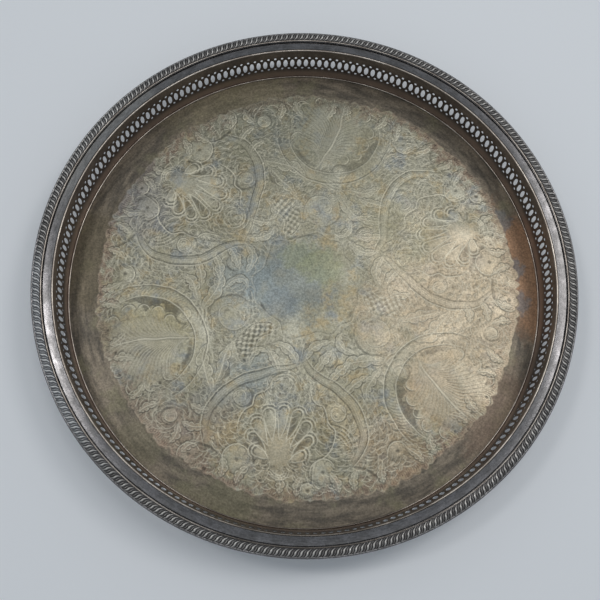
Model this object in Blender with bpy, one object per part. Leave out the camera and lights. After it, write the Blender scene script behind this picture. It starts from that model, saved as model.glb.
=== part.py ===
"""A round plated gallery tray: a flat floor inside a pierced gallery, under a flanged rim with a gadroon border.

Metres, +Z up. The origin is the centre of the face that the tray stands on. Every ring is a turned solid about Z,
and the gallery is a band of equal flat panels with one upright oval in each.
"""

import math

import bmesh
import bpy

# Driving dimensions
TRAY_RADIUS = 0.1905
TRAY_DEPTH = 0.0339
OVAL_COUNT = 208
BORDER_SECTIONS = 3
FIRST_SEAM = math.radians(33)
GAP = 0.0003
RING_SIDES = OVAL_COUNT // 2

# Foot ring, under the edge of the floor
FOOT_INNER = 0.1718
FOOT_OUTER = 0.1760
FOOT_HEIGHT = 0.0020
FOOT_BEVEL = 0.0005

# Floor plate
FLOOR_SHEET = 0.0010
FLOOR_RADIUS = 0.1762
FLOOR_BOTTOM = FOOT_HEIGHT + GAP
FLOOR_TOP = FLOOR_BOTTOM + FLOOR_SHEET

# Rim: the height of its widest line, and the flange sheet inside it
RIM_LEVEL = FLOOR_TOP + TRAY_DEPTH
FLANGE_SHEET = 0.0009
FLANGE_INNER = 0.1770
FLANGE_OUTER = TRAY_RADIUS - 0.0017
FLANGE_INNER_TOP = RIM_LEVEL - 0.0013
FLANGE_OUTER_TOP = RIM_LEVEL - 0.0008

# Gallery band, standing on the floor's edge and leaning slightly outwards
GALLERY_SHEET = 0.0009
GALLERY_BOTTOM = FLOOR_TOP + GAP
GALLERY_TOP = FLANGE_INNER_TOP - FLANGE_SHEET - GAP
GALLERY_BOTTOM_RADIUS = 0.1740
GALLERY_TOP_RADIUS = 0.1764
OVAL_WIDTH = 0.0035
OVAL_HEIGHT = 0.0078
OVAL_LEVEL = RIM_LEVEL - 0.0173
OVAL_SIDES = 6

# Wires: middle radius and half thickness
BEAD_RADIUS = 0.1733
BEAD_HALF = 0.00038
LIP_RADIUS = 0.17625
LIP_HALF = 0.00045
REED_RADIUS = 0.18355
REED_HALF = 0.00042

# Gadroon border, on the outer part of the flange
BORDER_INNER = 0.1844
BORDER_OUTER = 0.1893
BORDER_CREST_RADIUS = 0.1869
BORDER_CREST_HALF = 0.0009
BORDER_BOTTOM = FLANGE_OUTER_TOP + GAP
BORDER_CREST = RIM_LEVEL + 0.0013

# Edge wire, round the outside of the flange
EDGE_INNER = FLANGE_OUTER + GAP
EDGE_TOP = RIM_LEVEL + 0.0002
EDGE_BOTTOM = RIM_LEVEL - 0.0022
EDGE_BEVEL = 0.0004

# Colours (linear) and how dull and how metallic each finish is
FINISHES = {
    "plated_floor": ((0.36, 0.32, 0.21, 1.0), 0.42, 0.95),
    "plated_gallery": ((0.20, 0.15, 0.11, 1.0), 0.45, 0.95),
    "plated_rim": ((0.26, 0.25, 0.25, 1.0), 0.36, 1.0),
    "plated_border": ((0.18, 0.17, 0.16, 1.0), 0.40, 1.0),
    "worn_wire": ((0.55, 0.50, 0.42, 1.0), 0.30, 1.0),
    "plated_foot": ((0.30, 0.27, 0.22, 1.0), 0.42, 1.0),
}


def clear_scene():
    """Removes every object of the scene."""
    for obj in list(bpy.data.objects):
        bpy.data.objects.remove(obj, do_unlink=True)


def finish_material(part_name, finish):
    """A material of its own for one piece, in one of the tray's finishes."""
    colour, roughness, metallic = FINISHES[finish]
    material = bpy.data.materials.new(part_name + "_" + finish)
    material.use_nodes = True
    shader = material.node_tree.nodes["Principled BSDF"]
    shader.inputs["Base Color"].default_value = colour
    shader.inputs["Roughness"].default_value = roughness
    shader.inputs["Metallic"].default_value = metallic
    material.diffuse_color = colour
    return material


def add_piece(name, shape, finish):
    """Turns a bmesh into a smooth-shaded object of the tray and frees it."""
    bmesh.ops.remove_doubles(shape, verts=shape.verts, dist=1e-6)
    bmesh.ops.recalc_face_normals(shape, faces=shape.faces)
    mesh = bpy.data.meshes.new(name)
    shape.to_mesh(mesh)
    shape.free()
    mesh.shade_smooth()
    mesh.set_sharp_from_angle(angle=math.radians(35))
    obj = bpy.data.objects.new(name, mesh)
    obj.data.materials.append(finish_material(name, finish))
    bpy.context.scene.collection.objects.link(obj)
    return obj


def turned_ring(name, outline, finish, start=0.0, sweep=math.tau):
    """A closed outline of (radius, height) points turned about Z, all the way round or through one arc."""
    shape = bmesh.new()
    corners = []
    for radius, height in outline:
        corners.append(shape.verts.new((radius * math.cos(start), radius * math.sin(start), height)))
    if math.isclose(sweep, math.tau):
        turned = [shape.edges.new(pair) for pair in zip(corners, corners[1:] + corners[:1])]
    else:
        section = shape.faces.new(corners)
        turned = [section] + list(section.edges)
    steps = max(1, round(RING_SIDES * sweep / math.tau))
    bmesh.ops.spin(shape, geom=turned, cent=(0, 0, 0), axis=(0, 0, 1), angle=sweep, steps=steps)
    return add_piece(name, shape, finish)


def wire_outline(radius, height, half):
    """A square wire standing on its corner, as (radius, height) points."""
    return [(radius + half, height), (radius, height + half), (radius - half, height), (radius, height - half)]


def build_foot_ring():
    """The low flat ring that the tray stands on."""
    outline = [
        (FOOT_INNER, 0.0),
        (FOOT_OUTER - FOOT_BEVEL, 0.0),
        (FOOT_OUTER, FOOT_BEVEL),
        (FOOT_OUTER, FOOT_HEIGHT),
        (FOOT_INNER, FOOT_HEIGHT),
    ]
    return turned_ring("foot_ring", outline, "plated_foot")


def build_floor_plate():
    """The flat round sheet that carries the chasing."""
    shape = bmesh.new()
    bmesh.ops.create_cone(
        shape,
        cap_ends=True,
        cap_tris=False,
        segments=RING_SIDES,
        radius1=FLOOR_RADIUS,
        radius2=FLOOR_RADIUS,
        depth=FLOOR_SHEET,
    )
    bmesh.ops.translate(shape, verts=shape.verts, vec=(0, 0, FLOOR_BOTTOM + FLOOR_SHEET / 2))
    return add_piece("floor_plate", shape, "plated_floor")


def gallery_radius(height):
    """The inner radius of the gallery, at the panels' edges, at a height."""
    rise = (height - GALLERY_BOTTOM) / (GALLERY_TOP - GALLERY_BOTTOM)
    return GALLERY_BOTTOM_RADIUS + rise * (GALLERY_TOP_RADIUS - GALLERY_BOTTOM_RADIUS)


def build_gallery_band():
    """The pierced hoop: one flat panel with an oval, copied round, then given its thickness outwards."""
    shape = bmesh.new()
    half_turn = math.pi / OVAL_COUNT

    def on_panel(across, height):
        return shape.verts.new((gallery_radius(height) * math.cos(half_turn), across, height))

    def corner(side, height):
        return on_panel(side * gallery_radius(height) * math.sin(half_turn), height)

    widen = 1.0 / math.cos(math.pi / OVAL_SIDES)
    oval = []
    for step in range(OVAL_SIDES):
        angle = math.pi / 2 + step * math.tau / OVAL_SIDES
        across = widen * OVAL_WIDTH / 2 * math.cos(angle)
        oval.append(on_panel(across, OVAL_LEVEL + OVAL_HEIGHT / 2 * math.sin(angle)))
    top, upper_left, lower_left, bottom, lower_right, upper_right = oval
    panel_bottom_left, panel_bottom_right = corner(-1, GALLERY_BOTTOM), corner(1, GALLERY_BOTTOM)
    panel_top_left, panel_top_right = corner(-1, GALLERY_TOP), corner(1, GALLERY_TOP)
    shape.faces.new((panel_bottom_right, panel_top_right, upper_right, lower_right))
    shape.faces.new((panel_top_left, panel_bottom_left, lower_left, upper_left))
    shape.faces.new((panel_top_right, panel_top_left, upper_left, top, upper_right))
    shape.faces.new((panel_bottom_left, panel_bottom_right, lower_right, bottom, lower_left))
    bmesh.ops.spin(
        shape,
        geom=shape.verts[:] + shape.edges[:] + shape.faces[:],
        cent=(0, 0, 0),
        axis=(0, 0, 1),
        angle=math.tau,
        steps=OVAL_COUNT,
        use_duplicate=True,
    )
    band = add_piece("gallery_band", shape, "plated_gallery")
    if band.data.polygons[0].normal.x < 0:
        band.data.flip_normals()
    wall = band.modifiers.new("wall", "SOLIDIFY")
    wall.thickness = GALLERY_SHEET
    wall.offset = 1.0
    return band


def build_floor_bead():
    """The thin wire along the joint of the floor and the gallery."""
    height = FLOOR_TOP + GAP + BEAD_HALF
    return turned_ring("floor_bead", wire_outline(BEAD_RADIUS, height, BEAD_HALF), "worn_wire")


def build_rim_flange():
    """The flat brim at the top of the gallery."""
    outline = [
        (FLANGE_INNER, FLANGE_INNER_TOP - FLANGE_SHEET),
        (FLANGE_OUTER, FLANGE_OUTER_TOP - FLANGE_SHEET),
        (FLANGE_OUTER, FLANGE_OUTER_TOP),
        (FLANGE_INNER, FLANGE_INNER_TOP),
    ]
    return turned_ring("rim_flange", outline, "plated_rim")


def build_rim_lip():
    """The wire along the flange's inner edge."""
    height = FLANGE_INNER_TOP - FLANGE_SHEET / 2
    return turned_ring("rim_lip_wire", wire_outline(LIP_RADIUS, height, LIP_HALF), "worn_wire")


def build_reed_wire():
    """The plain wire between the flange and the gadroons."""
    height = FLANGE_OUTER_TOP + GAP + REED_HALF
    return turned_ring("reed_wire", wire_outline(REED_RADIUS, height, REED_HALF), "worn_wire")


def build_gadroon_border():
    """The cast border in equal sections, each a rounded moulding with flat ends."""
    shoulder = EDGE_TOP + GAP
    outline = [
        (BORDER_INNER, BORDER_BOTTOM),
        (FLANGE_OUTER, BORDER_BOTTOM),
        (FLANGE_OUTER, shoulder),
        (BORDER_OUTER, shoulder),
        (BORDER_CREST_RADIUS + BORDER_CREST_HALF, BORDER_CREST),
        (BORDER_CREST_RADIUS - BORDER_CREST_HALF, BORDER_CREST),
        (BORDER_INNER, shoulder),
    ]
    seam = GAP / BORDER_INNER
    sweep = math.tau / BORDER_SECTIONS - seam
    for number in range(BORDER_SECTIONS):
        start = FIRST_SEAM + number * math.tau / BORDER_SECTIONS + seam / 2
        turned_ring(f"gadroon_section_{number + 1}", outline, "plated_border", start, sweep)


def build_edge_wire():
    """The smooth wire that closes the outside of the rim."""
    middle = (EDGE_TOP + EDGE_BOTTOM) / 2
    quarter = (EDGE_TOP - EDGE_BOTTOM) / 4
    outline = [
        (EDGE_INNER, EDGE_BOTTOM),
        (TRAY_RADIUS - EDGE_BEVEL, EDGE_BOTTOM),
        (TRAY_RADIUS, middle - quarter),
        (TRAY_RADIUS, middle + quarter),
        (TRAY_RADIUS - EDGE_BEVEL, EDGE_TOP),
        (EDGE_INNER, EDGE_TOP),
    ]
    return turned_ring("edge_wire", outline, "plated_rim")


def main():
    """Builds the tray from the foot up."""
    clear_scene()
    build_foot_ring()
    build_floor_plate()
    build_floor_bead()
    build_gallery_band()
    build_rim_lip()
    build_rim_flange()
    build_reed_wire()
    build_gadroon_border()
    build_edge_wire()


if __name__ == "__main__":
    main()
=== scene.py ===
"""Looks of the round gallery tray: plated rings, pierced gallery, gadroon border and a chased floor.

Everything is in metres, with the tray standing on z = 0 and its axis on +Z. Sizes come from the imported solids
where a solid has them, and chased work is laid out in millimetres from the middle of the floor.
"""

import logging
import math
from collections.abc import Callable
from dataclasses import dataclass, field
from enum import Enum

import bpy
import numpy as np
from mathutils import Matrix, Vector


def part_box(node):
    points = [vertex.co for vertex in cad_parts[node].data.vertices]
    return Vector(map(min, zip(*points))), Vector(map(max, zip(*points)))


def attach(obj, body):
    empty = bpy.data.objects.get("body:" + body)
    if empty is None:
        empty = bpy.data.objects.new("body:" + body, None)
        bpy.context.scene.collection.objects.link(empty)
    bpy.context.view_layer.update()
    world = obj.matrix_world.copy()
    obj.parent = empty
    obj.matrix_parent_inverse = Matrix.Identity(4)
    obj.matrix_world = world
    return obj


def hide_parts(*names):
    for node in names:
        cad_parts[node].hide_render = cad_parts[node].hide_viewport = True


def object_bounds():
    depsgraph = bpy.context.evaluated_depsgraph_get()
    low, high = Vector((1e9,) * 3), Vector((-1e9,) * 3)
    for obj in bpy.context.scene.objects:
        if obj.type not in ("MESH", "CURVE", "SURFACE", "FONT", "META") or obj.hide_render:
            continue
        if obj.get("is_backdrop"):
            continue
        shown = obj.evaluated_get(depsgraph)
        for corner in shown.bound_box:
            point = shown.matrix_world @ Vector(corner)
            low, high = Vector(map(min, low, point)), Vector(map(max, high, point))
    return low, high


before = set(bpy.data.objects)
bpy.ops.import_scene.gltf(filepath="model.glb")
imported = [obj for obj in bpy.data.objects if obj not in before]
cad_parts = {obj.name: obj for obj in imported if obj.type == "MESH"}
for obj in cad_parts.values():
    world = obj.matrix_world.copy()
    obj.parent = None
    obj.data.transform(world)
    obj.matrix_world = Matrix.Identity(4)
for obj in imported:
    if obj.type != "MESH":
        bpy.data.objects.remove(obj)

LOG = logging.getLogger("gallery_tray")
MM = 0.001
BODY = "root"
Socket = bpy.types.NodeSocket
Rgba = tuple[float, float, float, float]


def hex_to_linear(code: str) -> Rgba:
    """Turns an sRGB hex colour into linear RGBA.

    Args:
        code: Six hex digits after a hash, such as "#A0A0A0".

    Returns:
        Red, green, blue and an alpha of one, for a shader socket.
    """
    channels = []
    for start in (1, 3, 5):
        value = int(code[start : start + 2], 16) / 255
        channels.append(value / 12.92 if value <= 0.04045 else ((value + 0.055) / 1.055) ** 2.4)
    return channels[0], channels[1], channels[2], 1.0


def add_node(tree: bpy.types.NodeTree, kind: str, inputs: dict | None = None, **settings) -> bpy.types.Node:
    """Adds one shader node, sets it up and links what feeds it.

    Args:
        tree: The material's or world's node tree.
        kind: The node's type name, such as "ShaderNodeMix".
        inputs: What each input gets, by its name or number: an output socket to link, or a plain value.
        settings: Properties of the node itself, such as operation="ADD".

    Returns:
        The new node.
    """
    made = tree.nodes.new(kind)
    for name, value in settings.items():
        setattr(made, name, value)
    for key, value in (inputs or {}).items():
        if isinstance(value, Socket):
            tree.links.new(value, made.inputs[key])
        else:
            made.inputs[key].default_value = value
    return made


def deselect() -> None:
    """Leaves object mode with nothing selected."""
    if bpy.context.object and bpy.context.object.mode != "OBJECT":
        bpy.ops.object.mode_set(mode="OBJECT")
    bpy.ops.object.select_all(action="DESELECT")


def select_only(piece: bpy.types.Object) -> None:
    """Selects one piece and nothing else, and makes it the active one.

    Args:
        piece: The object to select.
    """
    deselect()
    piece.select_set(True)
    bpy.context.view_layer.objects.active = piece


def name_active(name: str) -> bpy.types.Object:
    """Names the active object and its mesh.

    Args:
        name: The name that both get.

    Returns:
        The active object.
    """
    piece = bpy.context.object
    piece.name = name
    piece.data.name = name
    return piece


def apply_modifier(piece: bpy.types.Object, kind: str, **settings) -> None:
    """Adds a modifier to a piece, sets it up and applies it.

    Args:
        piece: The object, which becomes the only selected one.
        kind: The modifier's type, such as "SOLIDIFY".
        settings: The modifier's own properties.
    """
    select_only(piece)
    modifier = piece.modifiers.new(kind.lower(), kind)
    for name, value in settings.items():
        setattr(modifier, name, value)
    bpy.ops.object.modifier_apply(modifier=modifier.name)


def vertex_places(piece: bpy.types.Object) -> np.ndarray:
    """Reads where every vertex of a piece is.

    Args:
        piece: The object to read.

    Returns:
        An array of (x, y, z) rows.
    """
    places = np.empty(len(piece.data.vertices) * 3, np.float32)
    piece.data.vertices.foreach_get("co", places)
    return places.reshape(-1, 3).astype(float)


def place_vertices(piece: bpy.types.Object, places: np.ndarray) -> None:
    """Moves every vertex of a piece to its row of an (x, y, z) array."""
    piece.data.vertices.foreach_set("co", places.astype(np.float32).ravel())
    piece.data.update()


def mark(piece: bpy.types.Object, label: str, values: np.ndarray) -> None:
    """Stores one value for each vertex of a piece, for its material to read.

    Args:
        piece: The object to mark.
        label: The attribute's name.
        values: One value for each vertex.
    """
    layer = piece.data.attributes.new(label, "FLOAT", "POINT")
    layer.data.foreach_set("value", values.astype(np.float32))


def clean_up(piece: bpy.types.Object, merge: float = 1e-6, smooth_degrees: float = 40.0) -> None:
    """Merges doubled vertices, turns the faces outwards and shades the piece smooth up to an angle.

    Args:
        piece: The object to finish.
        merge: How close two vertices may be before they become one, in metres, or nought to merge none.
        smooth_degrees: Edges sharper than this stay sharp.
    """
    select_only(piece)
    bpy.ops.object.mode_set(mode="EDIT")
    bpy.ops.mesh.select_all(action="SELECT")
    if merge:
        bpy.ops.mesh.remove_doubles(threshold=merge)
    bpy.ops.mesh.normals_make_consistent(inside=False)
    bpy.ops.object.mode_set(mode="OBJECT")
    bpy.ops.object.shade_smooth_by_angle(angle=math.radians(smooth_degrees))


def turn_outline(name: str, outline: list[tuple[float, float]], steps: int = 360) -> bpy.types.Object:
    """Turns a closed outline about the tray's axis into a ring.

    Args:
        name: The piece's name.
        outline: Corners as (radius, height) in metres.
        steps: How many faces the ring has round it.

    Returns:
        The finished ring.
    """
    deselect()
    bpy.ops.mesh.primitive_circle_add(vertices=len(outline), radius=0.01)
    ring = name_active(name)
    for vertex, (radius, height) in zip(ring.data.vertices, outline):
        vertex.co = (radius, 0.0, height)
    bpy.ops.object.mode_set(mode="EDIT")
    bpy.ops.mesh.select_all(action="SELECT")
    bpy.ops.mesh.spin(steps=steps, angle=math.tau, center=(0, 0, 0), axis=(0, 0, 1))
    bpy.ops.object.mode_set(mode="OBJECT")
    clean_up(ring)
    return ring


def close_downwards(piece: bpy.types.Object, level: float) -> None:
    """Extrudes the open edge of a sheet down to a level and fills it, which makes the sheet a closed solid.

    Args:
        piece: A sheet with one open edge.
        level: The height of the new underside.
    """
    select_only(piece)
    bpy.ops.object.mode_set(mode="EDIT")
    bpy.ops.mesh.select_mode(type="EDGE")
    bpy.ops.mesh.select_all(action="DESELECT")
    bpy.ops.mesh.select_non_manifold(extend=False)
    bpy.ops.mesh.extrude_region_move()
    bpy.ops.object.mode_set(mode="OBJECT")
    for vertex in piece.data.vertices:
        if vertex.select:
            vertex.co.z = level
    bpy.ops.object.mode_set(mode="EDIT")
    bpy.ops.mesh.edge_face_add()
    bpy.ops.mesh.select_mode(type="VERT")
    bpy.ops.object.mode_set(mode="OBJECT")


def oval_outline(
    radius: float, height: float, half_width: float, half_height: float, sides: int = 12
) -> list[tuple[float, float]]:
    """Lays out the section of a drawn wire.

    Args:
        radius: The section's middle, out from the tray's axis.
        height: The section's middle, up from the stand.
        half_width: Half its width.
        half_height: Half its height.
        sides: How many corners it has.

    Returns:
        The corners as (radius, height).
    """
    corners = []
    for step in range(sides):
        angle = step * math.tau / sides
        corners.append((radius + half_width * math.cos(angle), height + half_height * math.sin(angle)))
    return corners


def fit_in_place(piece: bpy.types.Object, node: str) -> None:
    """Puts a piece on the tray's body in place of a CAD node, and reports it.

    Args:
        piece: The finished object.
        node: The CAD node that the piece stands for.
    """
    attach(piece, BODY)
    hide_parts(node)
    LOG.info("%s: %d faces", piece.name, len(piece.data.polygons))


@dataclass(frozen=True)
class StainAndPaintedLight:
    """A cloud of tarnish, painted highlight or painted shade, in millimetres from the tray's middle."""

    x: float
    y: float
    radius: float
    colour: str
    strength: float = 0.6


@dataclass(frozen=True)
class TarnishedPlate:
    """Silver plate on brass, toned by age: soft clouds of colour, a fine mottle and darker hollows."""

    name: str
    silver: str
    shade: str
    hollow: str
    crest: str
    metallic: float = 0.9
    roughness: float = 0.38
    cloud_mm: float = 30.0
    mottle_mm: float = 1.6
    mottle: float = 0.35
    grain: float = 0.12
    hollow_strength: float = 0.8
    crest_strength: float = 0.5
    crest_from: str = "crest"
    streak: float = 0.0
    streak_mm: float = 1.4
    stains_and_painted_light: tuple[StainAndPaintedLight, ...] = ()

    def make(self) -> bpy.types.Material:
        """Builds the material.

        Returns:
            A node material that reads Object coordinates and the piece's "hollow" and "crest" attributes.
        """
        material = bpy.data.materials.new(self.name)
        material.use_nodes = True
        tree = material.node_tree
        shader = tree.nodes["Principled BSDF"]
        place = add_node(tree, "ShaderNodeTexCoord").outputs["Object"]
        clouds = self.noise(tree, place, self.cloud_mm)
        colour = self.tone(tree, place, clouds)
        for tint in self.stains_and_painted_light:
            colour = self.lay_tint(tree, place, colour, tint)
        fine = self.noise(tree, place, self.mottle_mm)
        speckle = self.remap(tree, fine, (0.3, 0.7), (1 - self.mottle, 1 + self.mottle))
        colour = self.scale(tree, colour, speckle)
        if self.streak:
            rubbed = self.noise(tree, self.polar(tree, place), self.streak_mm)
            rings = self.remap(tree, rubbed, (0.35, 0.65), (1 - self.streak, 1 + self.streak))
            colour = self.scale(tree, colour, rings)
        hollow = self.marked(tree, "hollow", self.hollow_strength)
        colour = self.mix(tree, hollow, colour, hex_to_linear(self.hollow))
        crest = self.marked(tree, self.crest_from, self.crest_strength)
        colour = self.mix(tree, crest, colour, hex_to_linear(self.crest))
        tree.links.new(colour, shader.inputs["Base Color"])
        shader.inputs["Metallic"].default_value = self.metallic
        rough = self.remap(tree, clouds, (0.3, 0.7), (self.roughness * 0.85, self.roughness * 1.2))
        tree.links.new(rough, shader.inputs["Roughness"])
        bump = add_node(
            tree,
            "ShaderNodeBump",
            {"Height": fine, "Strength": self.grain, "Distance": 0.1 * MM},
        ).outputs["Normal"]
        tree.links.new(bump, shader.inputs["Normal"])
        return material

    def tone(self, tree: bpy.types.NodeTree, place: Socket, clouds: Socket) -> Socket:
        """The plate's colour before stains and marks: two tones that drift into each other.

        Args:
            tree: The material's node tree.
            place: The Object coordinates; this plain tone does not use them.
            clouds: Soft noise.

        Returns:
            The colour.
        """
        mask = self.window(tree, clouds, 0.35, 0.65)
        return self.mix(tree, mask, hex_to_linear(self.silver), hex_to_linear(self.shade))

    def noise(self, tree: bpy.types.NodeTree, place: Socket, size_mm: float) -> Socket:
        """Soft noise whose largest clouds are about the given size."""
        settings = {"Vector": place, "Scale": 1 / (size_mm * MM), "Detail": 4.0, "Roughness": 0.62}
        return add_node(tree, "ShaderNodeTexNoise", settings).outputs["Fac"]

    def remap(
        self, tree: bpy.types.NodeTree, value: Socket, span: tuple[float, float], onto: tuple[float, float]
    ) -> Socket:
        """Carries a value from one span onto another, in a straight line.

        Args:
            tree: The material's node tree.
            value: What is carried.
            span: The value's own lowest and highest.
            onto: What those two become.

        Returns:
            The carried value.
        """
        limits = {"From Min": span[0], "From Max": span[1], "To Min": onto[0], "To Max": onto[1]}
        return add_node(tree, "ShaderNodeMapRange", {"Value": value, **limits}).outputs["Result"]

    def marked(self, tree: bpy.types.NodeTree, label: str, strength: float) -> Socket:
        """Reads one of the piece's own marks as a mask of the given strength."""
        value = add_node(tree, "ShaderNodeAttribute", attribute_name=label).outputs["Fac"]
        product = add_node(
            tree, "ShaderNodeMath", {0: value, 1: strength}, operation="MULTIPLY", use_clamp=True
        )
        return product.outputs[0]

    def scale(self, tree: bpy.types.NodeTree, colour: Socket, factor: Socket) -> Socket:
        """Makes a colour lighter or darker by a factor socket."""
        scaled = add_node(tree, "ShaderNodeVectorMath", {0: colour, "Scale": factor}, operation="SCALE")
        return scaled.outputs["Vector"]

    def window(
        self, tree: bpy.types.NodeTree, value: Socket, low: float, high: float, most: float = 1.0
    ) -> Socket:
        """Turns a value into a smooth mask that rises from nought at low to its most at high."""
        limits = {"Value": value, "From Min": low, "From Max": high, "To Max": most}
        return add_node(tree, "ShaderNodeMapRange", limits, interpolation_type="SMOOTHSTEP").outputs["Result"]

    def polar(self, tree: bpy.types.NodeTree, place: Socket) -> Socket:
        """Makes places that stretch noise into rubbed rings round the middle.

        Args:
            tree: The material's node tree.
            place: The Object coordinates.

        Returns:
            The distance from the middle, with the way round squeezed small beside it.
        """
        apart = add_node(tree, "ShaderNodeSeparateXYZ", {0: place})
        level = {"X": apart.outputs["X"], "Y": apart.outputs["Y"]}
        flat = add_node(tree, "ShaderNodeCombineXYZ", level).outputs[0]
        radius = add_node(tree, "ShaderNodeVectorMath", {0: flat}, operation="LENGTH").outputs["Value"]
        unit = add_node(tree, "ShaderNodeVectorMath", {0: flat}, operation="NORMALIZE").outputs["Vector"]
        squeezed = add_node(tree, "ShaderNodeVectorMath", {0: unit, "Scale": 0.035}, operation="SCALE")
        lifted = add_node(tree, "ShaderNodeCombineXYZ", {"Z": radius}).outputs[0]
        added = add_node(tree, "ShaderNodeVectorMath", {0: squeezed.outputs["Vector"], 1: lifted})
        return added.outputs["Vector"]

    def mix(
        self, tree: bpy.types.NodeTree, factor: Socket, first: Socket | Rgba, second: Socket | Rgba
    ) -> Socket:
        """Mixes two colours, each a socket or plain RGBA, by a factor socket."""
        blend = add_node(tree, "ShaderNodeMix", {0: factor, 6: first, 7: second}, data_type="RGBA")
        return blend.outputs[2]

    def lay_tint(self, tree: bpy.types.NodeTree, place: Socket, colour: Socket, tint: StainAndPaintedLight) -> Socket:
        """Lays one cloud of tarnish, painted highlight or painted shade over a colour.

        Args:
            tree: The material's node tree.
            place: The Object coordinates.
            colour: The colour under the cloud.
            tint: The cloud's place, size and colour.

        Returns:
            The colour with the cloud on it.
        """
        radius = tint.radius * MM
        middle = {0: place, 1: (tint.x * MM, tint.y * MM, 0.0)}
        offset = add_node(tree, "ShaderNodeVectorMath", middle, operation="SUBTRACT").outputs["Vector"]
        cloudy = {"Vector": offset, "Scale": 2.2 / radius, "Detail": 4.0, "Roughness": 0.65}
        ripple = add_node(tree, "ShaderNodeTexNoise", cloudy).outputs["Fac"]
        level = {0: offset, 1: (1.0, 1.0, 0.0)}
        flat = add_node(tree, "ShaderNodeVectorMath", level, operation="MULTIPLY").outputs["Vector"]
        distance = add_node(tree, "ShaderNodeVectorMath", {0: flat}, operation="LENGTH").outputs["Value"]
        near = self.remap(tree, distance, (0.0, 2 * radius), (1.0, 0.0))
        both = add_node(tree, "ShaderNodeMath", {0: near, 1: ripple}, operation="ADD").outputs[0]
        mask = self.window(tree, both, 0.85, 1.2, tint.strength)
        return self.mix(tree, mask, colour, hex_to_linear(tint.colour))


@dataclass(frozen=True)
class ChasedPlate(TarnishedPlate):
    """The floor's plate: a dull brown border, and a chased field toned olive, gold and blue-grey."""

    border: str = "#7F7466"
    border_shade: str = "#6E665C"
    gold: str = "#B7A878"
    blue: str = "#8D9797"
    smear: str = "#7E7860"
    rusty: str = "#93806D"
    dark: str = "#62564A"
    patch_mm: float = 11.0
    drift_mm: float = 5.0
    smear_mm: float = 26.0
    border_stains: tuple[StainAndPaintedLight, ...] = ()

    def tone(self, tree: bpy.types.NodeTree, place: Socket, clouds: Socket) -> Socket:
        """Joins the field's tones inside the scalloped edge to the border's outside it.

        Args:
            tree: The material's node tree.
            place: The Object coordinates.
            clouds: Soft noise.

        Returns:
            The colour.
        """
        inside = self.field_tone(tree, place, super().tone(tree, place, clouds))
        outside = self.border_tone(tree, place)
        chased = add_node(tree, "ShaderNodeAttribute", attribute_name="field").outputs["Fac"]
        return self.mix(tree, chased, outside, inside)

    def field_tone(self, tree: bpy.types.NodeTree, place: Socket, colour: Socket) -> Socket:
        """Patches the chased field with gold and blue-grey, and lets its edge go rusty and then dark.

        Args:
            tree: The material's node tree.
            place: The Object coordinates.
            colour: The field's plain colour.

        Returns:
            The patched colour.
        """
        patches = self.noise(tree, place, self.patch_mm)
        moved = add_node(tree, "ShaderNodeVectorMath", {0: place, 1: (0.31, 0.17, 0.0)}).outputs["Vector"]
        others = self.noise(tree, moved, self.patch_mm * 1.7)
        golden = self.window(tree, patches, 0.50, 0.66, 0.75)
        colour = self.mix(tree, golden, colour, hex_to_linear(self.gold))
        bluish = self.window(tree, others, 0.52, 0.68, 0.75)
        colour = self.mix(tree, bluish, colour, hex_to_linear(self.blue))
        depth = add_node(tree, "ShaderNodeAttribute", attribute_name="depth").outputs["Fac"]
        speckle = self.noise(tree, moved, self.patch_mm * 0.6)
        inwards = {0: depth, 1: 0.30, 2: speckle}
        kept = add_node(tree, "ShaderNodeMath", inwards, operation="MULTIPLY_ADD").outputs[0]
        rusted = self.window(tree, kept, 0.36, 0.48)
        worn_edge = self.mix(tree, rusted, hex_to_linear(self.dark), hex_to_linear(self.rusty))
        return self.mix(tree, self.window(tree, kept, 0.44, 0.70), worn_edge, colour)

    def border_tone(self, tree: bpy.types.NodeTree, place: Socket) -> Socket:
        """The plain border's brown, drifting in rubbed rings, with smears and its own tarnish spots.

        Args:
            tree: The material's node tree.
            place: The Object coordinates.

        Returns:
            The colour.
        """
        drift = self.window(tree, self.noise(tree, self.polar(tree, place), self.drift_mm), 0.36, 0.64)
        colour = self.mix(tree, drift, hex_to_linear(self.border), hex_to_linear(self.border_shade))
        smeared = self.window(tree, self.noise(tree, place, self.smear_mm), 0.50, 0.66, 0.7)
        colour = self.mix(tree, smeared, colour, hex_to_linear(self.smear))
        for tint in self.border_stains:
            colour = super().lay_tint(tree, place, colour, tint)
        return colour

    def lay_tint(self, tree: bpy.types.NodeTree, place: Socket, colour: Socket, tint: StainAndPaintedLight) -> Socket:
        """Lays one cloud on the chased field only.

        Args:
            tree: The material's node tree.
            place: The Object coordinates.
            colour: The colour under the cloud.
            tint: The cloud's place, size and colour.

        Returns:
            The colour with the cloud on it.
        """
        stained = super().lay_tint(tree, place, colour, tint)
        chased = add_node(tree, "ShaderNodeAttribute", attribute_name="field").outputs["Fac"]
        return self.mix(tree, chased, colour, stained)


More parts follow.
